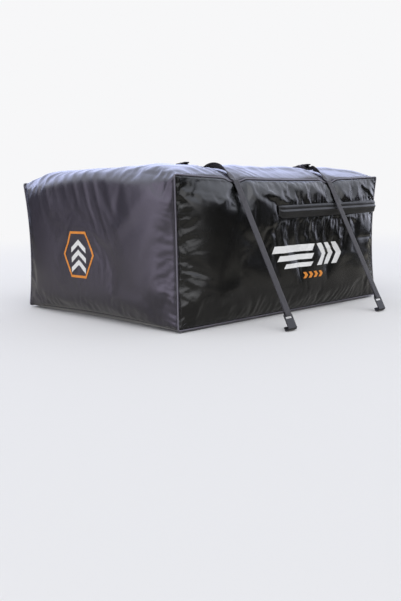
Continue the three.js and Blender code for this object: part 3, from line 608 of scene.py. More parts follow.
def make_grime_group():
    """Large soft shade changes and small pale scuffs from Object coordinates."""
    g, gin, gout = group_sockets(
        "wear_and_dust",
        [("Vector", "NodeSocketVector", None), ("Scale", "NodeSocketFloat", 1.0)],
        [("Shade", "NodeSocketFloat"), ("Scuff", "NodeSocketFloat")],
    )
    nodes, links = g.nodes, g.links
    scaled = nodes.new("ShaderNodeVectorMath")
    scaled.operation = "SCALE"
    links.new(gin.outputs["Vector"], scaled.inputs[0])
    links.new(gin.outputs["Scale"], scaled.inputs["Scale"])
    broad = noise(nodes, links, scaled.outputs[0], 5.0, 4.0, 0.55)
    fine = noise(nodes, links, scaled.outputs[0], 90.0, 5.0, 0.7)
    links.new(broad, gout.inputs["Shade"])
    high = math_node(nodes, links, "SUBTRACT", fine, 0.62)
    scuff = math_node(nodes, links, "MULTIPLY", high, 7.0, use_clamp=True)
    links.new(scuff, gout.inputs["Scuff"])
    return g


WEAVE = make_weave_group()
GRIME = make_grime_group()


def place_group(nodes, group):
    n = nodes.new("ShaderNodeGroup")
    n.node_tree = group
    return n


def object_place(nodes):
    return nodes.new("ShaderNodeTexCoord").outputs["Object"]


def place_grime(nodes, links, scale):
    grime = place_group(nodes, GRIME)
    links.new(object_place(nodes), grime.inputs["Vector"])
    grime.inputs["Scale"].default_value = scale
    return grime.outputs["Shade"], grime.outputs["Scuff"]


def bump_from(nodes, links, height, strength, distance, normal=None):
    n = nodes.new("ShaderNodeBump")
    n.inputs["Strength"].default_value = strength
    n.inputs["Distance"].default_value = distance
    links.new(height, n.inputs["Height"])
    if normal is not None:
        links.new(normal, n.inputs["Normal"])
    return n.outputs[0]


def tape_place(nodes, links):
    """Cloth coordinates for an upright tape that runs round the bag."""
    split = nodes.new("ShaderNodeSeparateXYZ")
    links.new(object_place(nodes), split.inputs[0])
    joined = nodes.new("ShaderNodeCombineXYZ")
    links.new(math_node(nodes, links, "ADD", split.outputs[0], split.outputs[1]), joined.inputs[0])
    links.new(split.outputs[2], joined.inputs[1])
    return joined.outputs[0]


def woven_cloth(
    name, dark, light, threads, roughness, bump_strength,
    coat=0.0, coat_rough=0.3, crumple=0.0, by_object=False,
):
    """Coated cloth: crumple is the strength of small dents finer than the mesh."""
    m, nodes, links, bsdf = new_material(name)
    weave = place_group(nodes, WEAVE)
    links.new(tape_place(nodes, links) if by_object else cloth_uv(nodes), weave.inputs["Vector"])
    weave.inputs["Threads"].default_value = threads
    shade, scuff = place_grime(nodes, links, 1.0)
    base = mix_colour(nodes, links, shade, dark, light)
    thread_share = math_node(nodes, links, "MULTIPLY", weave.outputs["Shade"], 0.12)
    toned = mix_colour(nodes, links, thread_share, base, tuple(1.5 * c for c in light))
    dust = math_node(nodes, links, "MULTIPLY", scuff, 0.08)
    links.new(mix_colour(nodes, links, dust, toned, (0.3, 0.3, 0.31)), bsdf.inputs["Base Color"])
    varied = math_node(nodes, links, "MULTIPLY", shade, 0.16)
    links.new(math_node(nodes, links, "ADD", varied, roughness - 0.08), bsdf.inputs["Roughness"])
    normal = bump_from(nodes, links, weave.outputs["Height"], bump_strength, 0.0002)
    if crumple:
        dents = noise(nodes, links, object_place(nodes), 55.0, 4.0, 0.6)
        normal = bump_from(nodes, links, dents, crumple, 0.002, normal)
    links.new(normal, bsdf.inputs["Normal"])
    bsdf.inputs["Coat Weight"].default_value = coat
    bsdf.inputs["Coat Roughness"].default_value = coat_rough
    return m


def moulded(name, dark, light, roughness, metallic=0.0, grain=1320.0, bump_strength=0.12):
    """A smooth hard finish with a fine grain and paler scuffs."""
    m, nodes, links, bsdf = new_material(name)
    shade, scuff = place_grime(nodes, links, 6.0)
    base = mix_colour(nodes, links, shade, dark, light)
    worn = math_node(nodes, links, "MULTIPLY", scuff, 0.2)
    paler = tuple(min(1.0, c * 2 + 0.05) for c in light)
    links.new(mix_colour(nodes, links, worn, base, paler), bsdf.inputs["Base Color"])
    varied = math_node(nodes, links, "MULTIPLY", shade, 0.2)
    links.new(math_node(nodes, links, "ADD", varied, roughness - 0.1), bsdf.inputs["Roughness"])
    speckle = noise(nodes, links, object_place(nodes), grain, 2.0, 0.5)
    links.new(bump_from(nodes, links, speckle, bump_strength, 0.0003), bsdf.inputs["Normal"])
    bsdf.inputs["Metallic"].default_value = metallic
    return m


wrap_cloth = woven_cloth(
    "coated_slate_nylon", (0.020, 0.0177, 0.0242), (0.034, 0.030, 0.0415), 900.0, 0.36, 0.2,
    coat=0.5, coat_rough=0.3, crumple=0.14,
)
gloss_side = woven_cloth(
    "gloss_black_tarp", (0.0022, 0.0022, 0.0021), (0.004, 0.004, 0.0036), 700.0, 0.25, 0.1,
    coat=0.25, coat_rough=0.17, crumple=0.12,
)
flap_cloth = woven_cloth(
    "dark_flap_cloth", (0.005, 0.005, 0.005), (0.009, 0.009, 0.0095), 900.0, 0.42, 0.2, crumple=0.1,
)
tape_cloth = woven_cloth(
    "zipper_tape_weave", (0.012, 0.012, 0.014), (0.02, 0.02, 0.023), 1600.0, 0.8, 0.5, by_object=True,
)
thread = moulded("slate_thread", (0.03, 0.028, 0.035), (0.05, 0.046, 0.058), 0.7, grain=1800.0)
piping_skin = moulded("pale_piping", (0.09, 0.085, 0.105), (0.16, 0.15, 0.18), 0.42, grain=720.0)
hard_black = moulded("moulded_black", (0.008, 0.008, 0.01), (0.018, 0.018, 0.021), 0.36)
plated = moulded("plated_steel", (0.42, 0.42, 0.44), (0.6, 0.6, 0.62), 0.32, metallic=1.0, grain=360.0)
teeth_black = moulded("coil_black", (0.012, 0.012, 0.013), (0.02, 0.02, 0.022), 0.4)
ink_white = moulded("printed_white", (0.74, 0.74, 0.73), (0.82, 0.82, 0.81), 0.4, bump_strength=0.05)
ink_orange = moulded("printed_orange", (0.72, 0.24, 0.025), (0.82, 0.3, 0.04), 0.4, bump_strength=0.05)


def make_webbing():
    """Woven band: ribs run across it and rows of thread along it, with painted shade in the hollows of the
    weave.
    """
    m, nodes, links, bsdf = new_material("slate_webbing")
    split = nodes.new("ShaderNodeSeparateXYZ")
    links.new(cloth_uv(nodes), split.inputs[0])
    ribs_per_metre, rows_per_metre = 620, 440

    def wave(axis, per_metre):
        turn = math_node(nodes, links, "MULTIPLY", split.outputs[axis], 2 * math.pi * per_metre)
        return math_node(nodes, links, "SINE", turn)

    height = math_node(nodes, links, "MULTIPLY", wave(0, ribs_per_metre), wave(1, rows_per_metre))
    raised = math_node(nodes, links, "MULTIPLY", math_node(nodes, links, "ADD", height, 1.0), 0.5)
    shade, _ = place_grime(nodes, links, 3.0)
    # Painted shade: the yarn is coloured darker where the weave is low.
    yarn_with_painted_shade = mix_colour(nodes, links, raised, (0.013, 0.012, 0.015), (0.032, 0.029, 0.037))
    faded = math_node(nodes, links, "MULTIPLY", shade, 0.3)
    links.new(mix_colour(nodes, links, faded, yarn_with_painted_shade, (0.036, 0.033, 0.042)), bsdf.inputs["Base Color"])
    varied = math_node(nodes, links, "MULTIPLY", raised, 0.15)
    links.new(math_node(nodes, links, "ADD", varied, 0.62), bsdf.inputs["Roughness"])
    links.new(bump_from(nodes, links, height, 0.5, 0.0004), bsdf.inputs["Normal"])
    bsdf.inputs["Sheen Weight"].default_value = 0.2
    return m


webbing = make_webbing()

# Camera at the photograph's place
FOCAL_PX, FRAME_PX = 699.1, 601.0
YAW, PITCH, ROLL = (math.radians(a) for a in (43.27, 8.10, 1.21))
CAMERA_AT = Vector((-1.757, -1.841, 0.3665))


def make_camera():
    look = Vector((math.sin(YAW) * math.cos(PITCH), math.cos(YAW) * math.cos(PITCH), -math.sin(PITCH)))
    right = Vector((math.cos(YAW), -math.sin(YAW), 0.0))
    down = look.cross(right)
    right_r = right * math.cos(ROLL) + down * math.sin(ROLL)
    down_r = down * math.cos(ROLL) - right * math.sin(ROLL)
    data = bpy.data.cameras.new("photo_camera")
    data.sensor_width = 36.0
    data.lens = 36.0 * FOCAL_PX / FRAME_PX
    data.clip_start = 0.05
    obj = bpy.data.objects.new("photo_camera", data)
    bpy.context.scene.collection.objects.link(obj)
    turn = Matrix((right_r, -down_r, -look)).transposed()
    obj.matrix_world = Matrix.Translation(CAMERA_AT) @ turn.to_4x4()
    bpy.context.scene.camera = obj


make_camera()

# Sewn panels
ZIP_W = (ZIP_REAR_Z - MID_Z) / HZ
WRAP_END = HEIGHT + LENGTH + (1 - ZIP_W) * HZ - SLIT
BASE_END = LENGTH + (ZIP_W + 1) * HZ - SLIT
CELL = 5.0
EDGE_Y = HY - SEAM_INSET
SETTLE_FRAMES = 18
SIDES = ((-1, "left"), (1, "right"))


def make_wrap():
    across = (-EDGE_Y, EDGE_Y)
    obj, s, y = cloth_panel("top_wrap_cloth", wrap_face, (2.0, WRAP_END), across, CELL * 1.2, 1, wrap_cloth)
    under_web, under_buckles, buckles_y = 19.0, 34.0, 0.62 * HY
    sewn = (np.abs(y) > EDGE_Y - 3) | (s < 6) | (s > WRAP_END - 34)
    x = s - HEIGHT - HX
    for sx in STRAP_X:
        off = np.abs(x - sx)
        sewn |= (off < under_web) | ((off < under_buckles) & (np.abs(y) < buckles_y))
    settle(obj, sewn, growth=0.012, pressure=0.12, cap=5.0)
    add_wall(obj, PANEL_WALL)
    fasten(obj, "top_wrap")


def make_base():
    across = (-EDGE_Y, EDGE_Y)
    obj, _, _ = cloth_panel("base_cloth", base_face, (0.8, BASE_END), across, CELL * 2, -1, wrap_cloth)
    add_wall(obj, PANEL_WALL)
    fasten(obj, "base_panel")


def make_side(side, tag):
    """Black panel in two parts, above and below the zipper, joined at the front."""
    f = side_face(side)
    edge_x, low, high = HX - SEAM_INSET, SEAM_LIFT + SEAM_INSET, SEAM_LIFT + HEIGHT - SEAM_INSET
    na = round(2 * edge_x / CELL)
    nb = round((high - low) / CELL)
    bm, flat = unit_grid(na, nb)
    a = lerp(-edge_x, edge_x, flat[:, 0])
    # The rows follow the zipper, and the two nearest ones open into its slit.
    row = (high - low) / nb
    middle_row = low + (math.floor((zip_z(0.5 * (ZIP_X + HX)) - low) / row) + 0.5) * row
    off = lerp(low, high, flat[:, 1]) - middle_row
    opening = np.sign(off) * (SLIT - row / 2) * bump(np.abs(off) - row / 2, 24.0) * (a > ZIP_X)
    b = middle_row + off + (zip_z(a) - middle_row) * bump(off, 60.0) + opening
    place(bm, f(a, b))
    lay_uv(bm, np.stack([a, b], axis=-1) * MM)
    gap = []
    for face in bm.faces:
        corners = [v.index for v in face.verts]
        on_row = min(off[c] for c in corners) < 0 < max(off[c] for c in corners)
        if on_row and min(a[c] for c in corners) > ZIP_X:
            gap.append(face)
    bmesh.ops.delete(bm, geom=gap, context="FACES")
    kept = [v.index for v in bm.verts]
    a, b = a[kept], b[kept]
    obj = finish_mesh("side_cloth_" + tag, bm, gloss_side)
    turn_out(obj, obj.data.polygons[len(obj.data.polygons) // 3], (0, side, 0))
    sewn = (np.abs(a) > edge_x - 1) | (b < low + 1) | (b > high - 1)
    sewn |= (a > ZIP_X - 16) & (np.abs(b - zip_z(a)) < 24)
    for sx in STRAP_X:
        sewn |= (np.abs(a - sx) < 16) & (b > high - 20)
    settle(obj, sewn, growth=0.02, pressure=0.2, cap=7.0)
    add_wall(obj, PANEL_WALL)
    fasten(obj, "side_panel_" + tag)


make_wrap()
make_base()
for side, tag in SIDES:
    make_side(side, tag)


# Piping
def piping(side, tag):
    """A cord round the side panel, open where the zipper crosses at the rear."""
    gap = SLIT + PIPING_R + 1.4
    points = []
    turn = 7.0

    def go(u0, w0, u1, w1, count):
        for t in np.linspace(0, 1, count + 1):
            points.append(skin(lerp(u0, u1, t), side, lerp(w0, w1, t)))

    tu, tw = 1 - turn / HX, 1 - turn / HZ
    cu, cw = 1 - 1.6 / HX, 1 - 1.6 / HZ
    go(1, ZIP_W + gap / HZ, 1, tw, 10)
    points.append(skin(cu, side, cw))
    go(tu, 1, -tu, 1, 120)
    points.append(skin(-cu, side, cw))
    go(-1, tw, -1, -tw, 50)
    points.append(skin(-cu, side, -cw))
    go(-tu, -1, tu, -1, 80)
    points.append(skin(cu, side, -cw))
    go(1, -tw, 1, ZIP_W - gap / HZ, 30)
    points = np.array(points)
    tangent = unit(np.gradient(points, axis=0))
    w_dir = unit(np.cross(tangent, np.array([0.0, side, 0.0])))
    n_dir = np.cross(w_dir, tangent)
    rows = np.concatenate([points, w_dir, n_dir], axis=1)
    obj = ring_path("piping_cord_" + tag, rows, round_outline(CORD_R), piping_skin)
    fasten(obj, "piping_" + tag)


for side, tag in SIDES:
    piping(side, tag)


# Rain flaps
def rain_flap(side, tag):
    """A hooded strip over the zipper, cut back at its lower front corner."""
    start, end = ZIP_X - 12.0, HX - 14.0
    bm, flat = unit_grid(140, 30)
    a, b = flat[:, 0], flat[:, 1]
    x = lerp(start, end, a)
    cut_back = 9 * (1 - smooth(start, start + 20, x))
    z = zip_z(x) + lerp(1 - FLAP_LOW + cut_back, FLAP_HIGH, b)
    t = 2 * b - 1
    ends = smooth(0.0, 0.05, a) * 0.75 + 0.25
    q = skin(x / HX, side, (z - MID_Z) / HZ)
    wave = 0.5 * ripple(x, 201, 0.02, 0.08) * (1 - t * t)
    # A raised welt with a groove above it, and turned hems at the long edges.
    welt = 2.6 * bump(b - 0.5, 0.07) - 1.6 * bump(b - 0.68, 0.06) + 0.9 * bump(b - 0.86, 0.05)
    hem = 0.7 * (1 - smooth(0.08, 0.16, b))
    lift = 0.9 + 5.0 * (1 - np.abs(t) ** 2.6) * ends + wave + (welt + hem) * smooth(0.0, 0.03, a)
    points = np.stack([x, q[:, 1] + side * lift, z], axis=-1)
    place(bm, points)
    lay_uv(bm, np.stack([x, z], axis=-1) * MM)
    obj = finish_mesh("rain_flap_cloth_" + tag, bm, flap_cloth)
    turn_out(obj, obj.data.polygons[len(obj.data.polygons) // 2], (0, side, 0))
    add_wall(obj, FLAP_WALL, 1)
    fasten(obj, "rain_flap_" + tag)


for side, tag in SIDES:
    rain_flap(side, tag)


# Zipper teeth
def zip_route():
    """Points and outward directions along the zipper, round the rear end."""
    inset = lambda t: 6.5 * smooth(0.6, 0.93, abs(t))
    corner_r = 27.0
    last_x, last_y = HX - EDGE_BOW - corner_r, HY - EDGE_BOW - corner_r

    def on_side(x, side):
        z = float(zip_z(x))
        q = skin(x / HX, side, (z - MID_Z) / HZ)
        return [x, q[1] - side * (0.6 + inset(x / HX)), z, 0.0, side, 0.0]

    rear_x = skin(1, 0, ZIP_W)[0]

    def on_rear(y):
        q = skin(1, y / HY, ZIP_W)
        x = lerp(rear_x - 0.3, q[0], smooth(0.57 * HY, 0.75 * HY, abs(y))) - inset(y / HY)
        return [x, y, ZIP_REAR_Z, 1.0, 0.0, 0.0]

    def corner(side):
        a, b = on_side(last_x, side), on_rear(side * last_y)
        out = []
        for k in (1, 2, 3):
            turn = k * math.pi / 8
            x, y = lerp(a[0], b[0], math.sin(turn)), lerp(b[1], a[1], math.cos(turn))
            out.append([x, y, ZIP_REAR_Z, math.sin(turn), side * math.cos(turn), 0.0])
        return out

    rear_y = [0.6 * HY, 0.77 * HY, 0.87 * HY, last_y]
    route = [on_side(x, -1) for x in np.linspace(ZIP_X + 3, last_x, 14)] + corner(-1)
    route += [on_rear(-y) for y in reversed(rear_y)] + [on_rear(0)] + [on_rear(y) for y in rear_y]
    route += corner(1)[::-1] + [on_side(x, 1) for x in np.linspace(last_x, ZIP_X + 3, 14)]
    return np.array(route, float)


def zipper_row(tag, up, phase):
    """One row of small tapered teeth, set side by side along the tape."""
    route = zip_route()
    run = run_length_along(route[:, :3])
    pitch, long, deep, high = 2.6, 1.5, 3.0, 2.1
    behind, off_middle, taper = 3.2, 2.15, 0.35
    bm = bmesh.new()
    for at in np.arange(pitch * (1 + phase), run[-1] - pitch, pitch):
        p = Vector([float(np.interp(at, run, route[:, k])) for k in range(3)])
        n = Vector([float(np.interp(at, run, route[:, k])) for k in range(3, 6)]).normalized()
        along = n.cross(Vector((0, 0, 1)))
        centre = p - n * behind + Vector((0, 0, up * off_middle))
        turn = Matrix((along * long, n * deep, Vector((0, 0, high)))).transposed().to_4x4()
        tooth = bmesh.ops.create_cube(bm, size=1.0, matrix=Matrix.Translation(centre) @ turn)
        for v in tooth["verts"]:
            if (v.co - centre).dot(n) > 0:
                v.co -= along * (v.co - centre).dot(along) * taper
    bmesh.ops.scale(bm, vec=(MM, MM, MM), verts=bm.verts)
    obj = finish_mesh("zipper_coil_" + tag, bm, teeth_black, False)
    fasten(obj, "zipper_teeth_" + tag)


zipper_row("upper", 1, 0.0)
zipper_row("lower", -1, 0.5)


# Straps and their sewn loops
def top_at(x, y):
    return skin(x / HX, y / HY, 1.0)


def top_tilt(x, y):
    a, b = top_at(x, y - 14), top_at(x, y + 14)
    return math.atan2(b[2] - a[2], b[1] - a[1])


FRAME_LEN, PLATE, BUCKLE_LIFT, BAR_INSET, BAR_Z = 52.0, 2.4, 4.4, 2.0, 2.0
HOOK_LEN, HOOK_DEPTH, LOOP_R, SEWN_TAIL = 43.0, 14.0, 3.7, 44.0
# Each hold-down's name, its place on the top, and the side it runs to.
HOLDS = [
    ("near_1", STRAP_X[0], -HY + 232, -1), ("far_1", STRAP_X[0], HY - 122, 1),
    ("near_2", STRAP_X[1], -HY + 110, -1), ("far_2", STRAP_X[1], HY - 114, 1),
]
ACROSS = np.array([1.0, 0.0, 0.0])


class Seat:
    """The buckle's own directions, and its place on the bag's top."""

    def __init__(self, hx, hy, out):
        tilt = top_tilt(hx, hy) * out
        self.hx = hx
        self.out_dir = np.array([0.0, out * math.cos(tilt), math.sin(tilt)])
        self.up_dir = np.array([0.0, -out * math.sin(tilt), math.cos(tilt)])
        self.middle = top_at(hx, hy) + self.up_dir * BUCKLE_LIFT
        self.back, self.front = -FRAME_LEN / 2, FRAME_LEN / 2

    def at(self, y, z):
        return self.middle + self.out_dir * y + self.up_dir * z

    def cloth_z(self, y, lift):
        """Height of the cloth plus a lift, at y along the buckle."""
        s = top_at(self.hx, self.at(y, 0)[1]) + self.up_dir * lift - self.middle
        return float(s @ self.up_dir)


def anchor_loop(tag, seat):
    """Webbing sewn to the top, round the buckle's rear bar and back."""
    bar_y = seat.back + BAR_INSET
    low, r = 3.1, 3.9
    high, slant = low + WEB_T + 0.3, r * 0.72
    # Each station's place along and above the buckle, and the way its face looks.
    stations = [
        (bar_y - 48, seat.cloth_z(bar_y - 48, low), 0, -1),
        (bar_y - 30, seat.cloth_z(bar_y - 30, low), 0, -1),
        (bar_y - 8, -1.6, 0, -1), (bar_y, BAR_Z - r, 0, -1), (bar_y + slant, BAR_Z - slant, 1, -1),
        (bar_y + r, BAR_Z, 1, 0), (bar_y + slant, BAR_Z + slant, 1, 1), (bar_y, BAR_Z + r, 0, 1),
        (bar_y - 10, 2.6, 0, 1), (bar_y - 30, seat.cloth_z(bar_y - 30, high), 0, 1),
        (bar_y - 46, seat.cloth_z(bar_y - 46, high), 0, 1),
    ]
    loop = []
    for y, z, ny, nz in stations:
        n = seat.out_dir * ny + seat.up_dir * nz
        loop.append((seat.at(y, z), ACROSS, n / np.linalg.norm(n)))
    rows = smooth_stations(loop, 4)
    obj = ring_path("anchor_loop_web_" + tag, rows, web_outline(), webbing, flat_band=True)
    fasten(obj, "anchor_loop_" + tag)


def strap(tag, seat, hx, hy, out):
    """Webbing from its free tail through the buckle, over the edge and down to its hook."""
    run = []
    strap_low = PLATE + 0.4 + WEB_T / 2
    tail_z = 8.2

    def lay(y, lift):
        angle = top_tilt(hx, y)
        n = np.array([0.0, -math.sin(angle), math.cos(angle)])
        return [top_at(hx, y) + n * lift, ACROSS, n]

    for inward, lift in ((88, 8), (70, 8.4), (50, 9)):
        run.append(lay(hy - out * inward, lift))
    through = [
        (seat.back - 4, tail_z + WEB_T), (seat.back + 6, tail_z + WEB_T / 2), (-10, strap_low + 1),
        (0, strap_low), (seat.front - 4, strap_low), (seat.front + 5, strap_low - 0.6),
    ]
    for y, z in through:
        run.append([seat.at(y, z), ACROSS, seat.up_dir])

    # Over the top, where the band turns on its side for a stretch.
    edge = skin(hx / HX, out, 1.0)
    start_y = seat.at(seat.front + 5, 0)[1]
    turn_in = 0.85 if out < 0 else 0.3
    run_length = abs(edge[1] - start_y)
    run_steps = max(4, round(run_length / 22))
    for i in range(1, run_steps + 1):
        t = i / (run_steps + 1)
        p, _, n = lay(lerp(start_y, edge[1] - out * 6, t), 2.8 + 0.6 * (1 - t))
        turn = min(1.0, max(0.0, (run_length * (1 - t) - 4) / TWIST))
        angle = turn_in * math.sin(math.pi * turn)
        wide = ACROSS * math.cos(angle) - n * math.sin(angle)
        face = n * math.cos(angle) + ACROSS * math.sin(angle)
        run.append([p + n * (WEB_W / 2 * math.sin(angle)), wide, face])

    # Round the piping and straight down.
    down = np.array([0.0, out * math.sin(STRAP_SLOPE), -math.cos(STRAP_SLOPE)])
    away = np.array([0.0, out * math.cos(STRAP_SLOPE), math.sin(STRAP_SLOPE)])
    clear = PIPING_R + 2.8
    for angle in (1.75, 1.25, 0.85):
        n = np.array([0.0, out * math.cos(angle), math.sin(angle)])
        run.append([edge + n * clear, ACROSS, n])
    over = edge + away * clear
    run.append([over, ACROSS, away])
    bar_z = HOOK_LEN * math.cos(STRAP_SLOPE) + HOOK_DEPTH * math.sin(STRAP_SLOPE) + 1
    total = (over[2] - bar_z) / math.cos(STRAP_SLOPE)
    bar_at = over + down * total - away * LOOP_R
    for t in (0.25, 0.5, 0.75):
        run.append([over + down * (t * (total - 60)), ACROSS, away])
    run.append([over + down * (total - 14), ACROSS, away])

    # Round the hook's bar, and back up to where it is sewn.
    for angle in (0, 0.9, 1.57, 2.3, 3.14):
        n = away * math.cos(angle) + down * math.sin(angle)
        run.append([bar_at + n * LOOP_R, ACROSS, n])
    run.append([bar_at - down * 12 + away * (LOOP_R - 3.2), ACROSS, -away])
    run.append([bar_at - down * SEWN_TAIL + away * (LOOP_R - 2.4), ACROSS, -away])
    obj = ring_path("strap_web_" + tag, smooth_stations(run, 5), web_outline(), webbing, flat_band=True)
    fasten(obj, "strap_" + tag)


for tag, hx, hy, out in HOLDS:
    seat = Seat(hx, hy, out)
    anchor_loop(tag, seat)
    strap(tag, seat, hx, hy, out)


# Finishes of the rigid parts that keep their own solids
def dress(prefixes, material):
    for name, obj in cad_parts.items():
        if name.startswith(prefixes):
            for slot in obj.material_slots:
                slot.material = material
            if not obj.material_slots:
                obj.data.materials.append(material)


dress(("buckle_frame", "cam_lever", "door_hook", "pull_tab"), hard_black)
dress(("cam_pin", "cam_spring", "zipper_slider", "zipper_stop"), plated)
dress(("zipper_tape",), tape_cloth)


# Stitching and the patches under the loops
def stitches(name, lines, pitch, length=2.4, radius=0.38):
    """Short threads set along lines of points and outward directions."""
    centre, axes = [], []
    for line in lines:
        line = np.asarray(line, float)
        run = run_length_along(line[:, :3])
        at = np.arange(pitch / 2, run[-1] - length / 2, pitch)
        pick = lambda t, first: np.stack([np.interp(t, run, line[:, first + k]) for k in range(3)], axis=-1)
        a, b, n = pick(at - length / 2, 0), pick(at + length / 2, 0), pick(at, 3)
        along = unit(b - a)
        side = unit(np.cross(n, along))
        centre.append((a + b) / 2)
        axes.append(np.stack([along * length / 2, side * radius, np.cross(along, side) * radius], axis=1))
    centre, axes = np.concatenate(centre), np.concatenate(axes)
    # One small ball is doubled until there are enough, and each is then drawn out to a thread.
    bm = bmesh.new()
    bmesh.ops.create_uvsphere(bm, u_segments=6, v_segments=4, radius=1.0)
    size, copies = len(bm.verts), 1
    while copies < len(centre):
        bmesh.ops.duplicate(bm, geom=bm.verts[:] + bm.edges[:] + bm.faces[:])
        copies *= 2
    bm.verts.ensure_lookup_table()
    bmesh.ops.delete(bm, geom=bm.verts[len(centre) * size:], context="VERTS")
    ball = np.array([v.co for v in bm.verts])
    which = np.arange(len(ball)) // size
    place(bm, centre[which] + np.einsum("ij,ijk->ik", ball, axes[which]))
    fasten(finish_mesh(name, bm, thread))


def on_cloth(tree, f, a, b, sense, lift=0.25, reach=30.0):
    """Points laid on a panel's settled face, each with its outward direction."""
    rows = []
    for p, n in zip(f(a, b), facing(f, a, b, sense)):
        hit, _, _, _ = tree.ray_cast((Vector(p) + Vector(n) * reach) * MM, -Vector(n))
        spot = (hit / MM if hit else Vector(p)) + Vector(n) * lift
        rows.append([*spot, *n])
    return rows


def panel_tree(name):
    return BVHTree.FromObject(bpy.data.objects[name], bpy.context.evaluated_depsgraph_get())


def seam_stitches():
    """Rows of stitches beside the seams, and along both hems of each rain flap."""
    beside_wrap, beside_side, pitch = 7.0, 9.0, 5.0
    tree = panel_tree("top_wrap_cloth")
    along = np.linspace(12, WRAP_END - 12, 260)
    seams = (beside_wrap - EDGE_Y, EDGE_Y - beside_wrap)
    rows = [on_cloth(tree, wrap_face, along, np.full_like(along, y), 1) for y in seams]
    stitches("wrap_seam_stitches", rows, pitch)
    for side, tag in SIDES:
        tree, f = panel_tree("side_cloth_" + tag), side_face(side)
        x, low, high = HX - beside_side, SEAM_LIFT + beside_side, SEAM_LIFT + HEIGHT - beside_side
        a, b = np.linspace(-x, x, 160), np.linspace(low, high, 70)
        edges = [(a, np.full_like(a, low)), (a, np.full_like(a, high)), (np.full_like(b, -x), b)]
        rows = [on_cloth(tree, f, p, q, -side) for p, q in edges]
        stitches("side_seam_stitches_" + tag, rows, pitch)
        tree = panel_tree("rain_flap_cloth_" + tag)
        a = np.linspace(ZIP_X - 8, HX - 20, 120)
        rows = [on_cloth(tree, f, a, zip_z(a) + dz, -side) for dz in (-16.0, 18.5)]
        stitches("flap_stitches_" + tag, rows, 4.0)


def top_face(a, b):
    return skin(np.asarray(a) / HX, np.asarray(b) / HY, 1.0)


PATCH_X, PATCH_Y, PATCH_SET_BACK = 44.0, 48.0, 38.0


def anchor_patch(tag, hx, hy, out):
    """Reinforcing cloth under the sewn loop, with turned edges, and its stitches."""
    middle = hy - out * (FRAME_LEN / 2 + PATCH_SET_BACK)
    bm, flat = unit_grid(22, 24)
    x, y = hx + (flat[:, 0] - 0.5) * PATCH_X, middle + (flat[:, 1] - 0.5) * PATCH_Y
    rim = np.minimum(PATCH_X / 2 - np.abs(x - hx), PATCH_Y / 2 - np.abs(y - middle))
    hem = 0.15 + 0.4 * smooth(0.0, 1.5, rim) * (1 - smooth(3.5, 5.5, rim))
    laid = np.array(on_cloth(panel_tree("top_wrap_cloth"), top_face, x, y, 1, 0.0))
    place(bm, laid[:, :3] + laid[:, 3:] * hem[:, None])
    lay_uv(bm, np.stack([x, y], axis=-1) * MM)
    obj = finish_mesh("anchor_patch_cloth_" + tag, bm, wrap_cloth)
    turn_out(obj, obj.data.polygons[0], (0, 0, 1))
    add_wall(obj, PATCH_WALL, 1)
    fasten(obj, "anchor_patch_" + tag)
    patch, web = panel_tree("anchor_patch_cloth_" + tag), panel_tree("anchor_loop_web_" + tag)

    def box(on, half_x, y0, y1, cross=False):
        corners = [(-half_x, y0), (half_x, y0), (half_x, y1), (-half_x, y1), (-half_x, y0)]
        if cross:
            corners += [(half_x, y1), (half_x, y0), (-half_x, y1)]
        lines = []
        for (xa, ya), (xb, yb) in zip(corners[:-1], corners[1:]):
            a, b = hx + np.linspace(xa, xb, 12), middle + np.linspace(ya, yb, 12)
            lines.append(on_cloth(on, top_face, a, b, 1, 0.2))
        return lines

    stitches("patch_stitches_" + tag, box(patch, 18.5, -20.5, 20.5), 3.4, 2.2, 0.34)
    low, high = sorted((out * -4, out * 9))
    stitches("loop_stitches_" + tag, box(web, 9.5, low, high, cross=True), 3.0, 2.1, 0.34)


seam_stitches()
for hold in HOLDS:
    anchor_patch(*hold)


# Printed marks, in generic shapes
def printed(name, tree, f, rule, na, nb, material):
    """A thin layer of ink laid on the settled cloth."""
    bm, flat = unit_grid(na, nb)
    a, b = rule(flat[:, 0], flat[:, 1])
    laid = np.array(on_cloth(tree, f, a, b, 1, lift=0.7, reach=40.0))
    place(bm, laid[:, :3])
    lay_uv(bm, np.stack([a, b], axis=-1) * MM)
    bmesh.ops.remove_doubles(bm, verts=bm.verts, dist=1e-6)
    obj = finish_mesh(name, bm, material)
    turn_out(obj, obj.data.polygons[0], laid[0, 3:])
    fasten(obj)


def slanted(x0, x1, z0, z1, lean=0.0):
    return lambda a, b: (lerp(x0, x1, a) + lean * b, lerp(z0, z1, b))


def chevron(x0, x1, z0, z1, point):
    return lambda a, b: (lerp(x0, x1, a) + point * (1 - np.abs(2 * b - 1)), lerp(z0, z1, b))


def peak(y0, y1, z0, z1, rise):
    return lambda a, b: (lerp(z0, z1, b) + rise * (1 - np.abs(2 * a - 1)), lerp(y0, y1, a))


def six_sided(y, s, inner, outer):
    """A ring with six straight sides."""
    part = math.pi / 6

    def rule(a, b):
        angle = 2 * math.pi * b
        r = lerp(inner, outer, a) * math.cos(part) / np.cos(np.mod(angle, 2 * part) - part)
        return s + r * np.sin(angle), y + r * np.cos(angle)
    return rule


def print_side():
    tree, f = panel_tree("side_cloth_left"), side_face(-1)
    low, high, lean = 150, 222, 12
    stripes = [(-126, 70, 200, high), (-102, 66, 174, 191), (-74, 62, low, 164)]
    marks = [slanted(x0, x1, z0, z1, lean) for x0, x1, z0, z1 in stripes]
    marks += [chevron(x, x + 26, low, high, 30) for x in (92, 134, 176)]
    for i, rule in enumerate(marks):
        printed(f"side_print_white_{i}", tree, f, rule, 48, 24, ink_white)
    for i in range(4):
        small = chevron(24 + 26 * i, 38 + 26 * i, 112, 132, 9)
        printed(f"side_print_orange_{i}", tree, f, small, 6, 8, ink_orange)


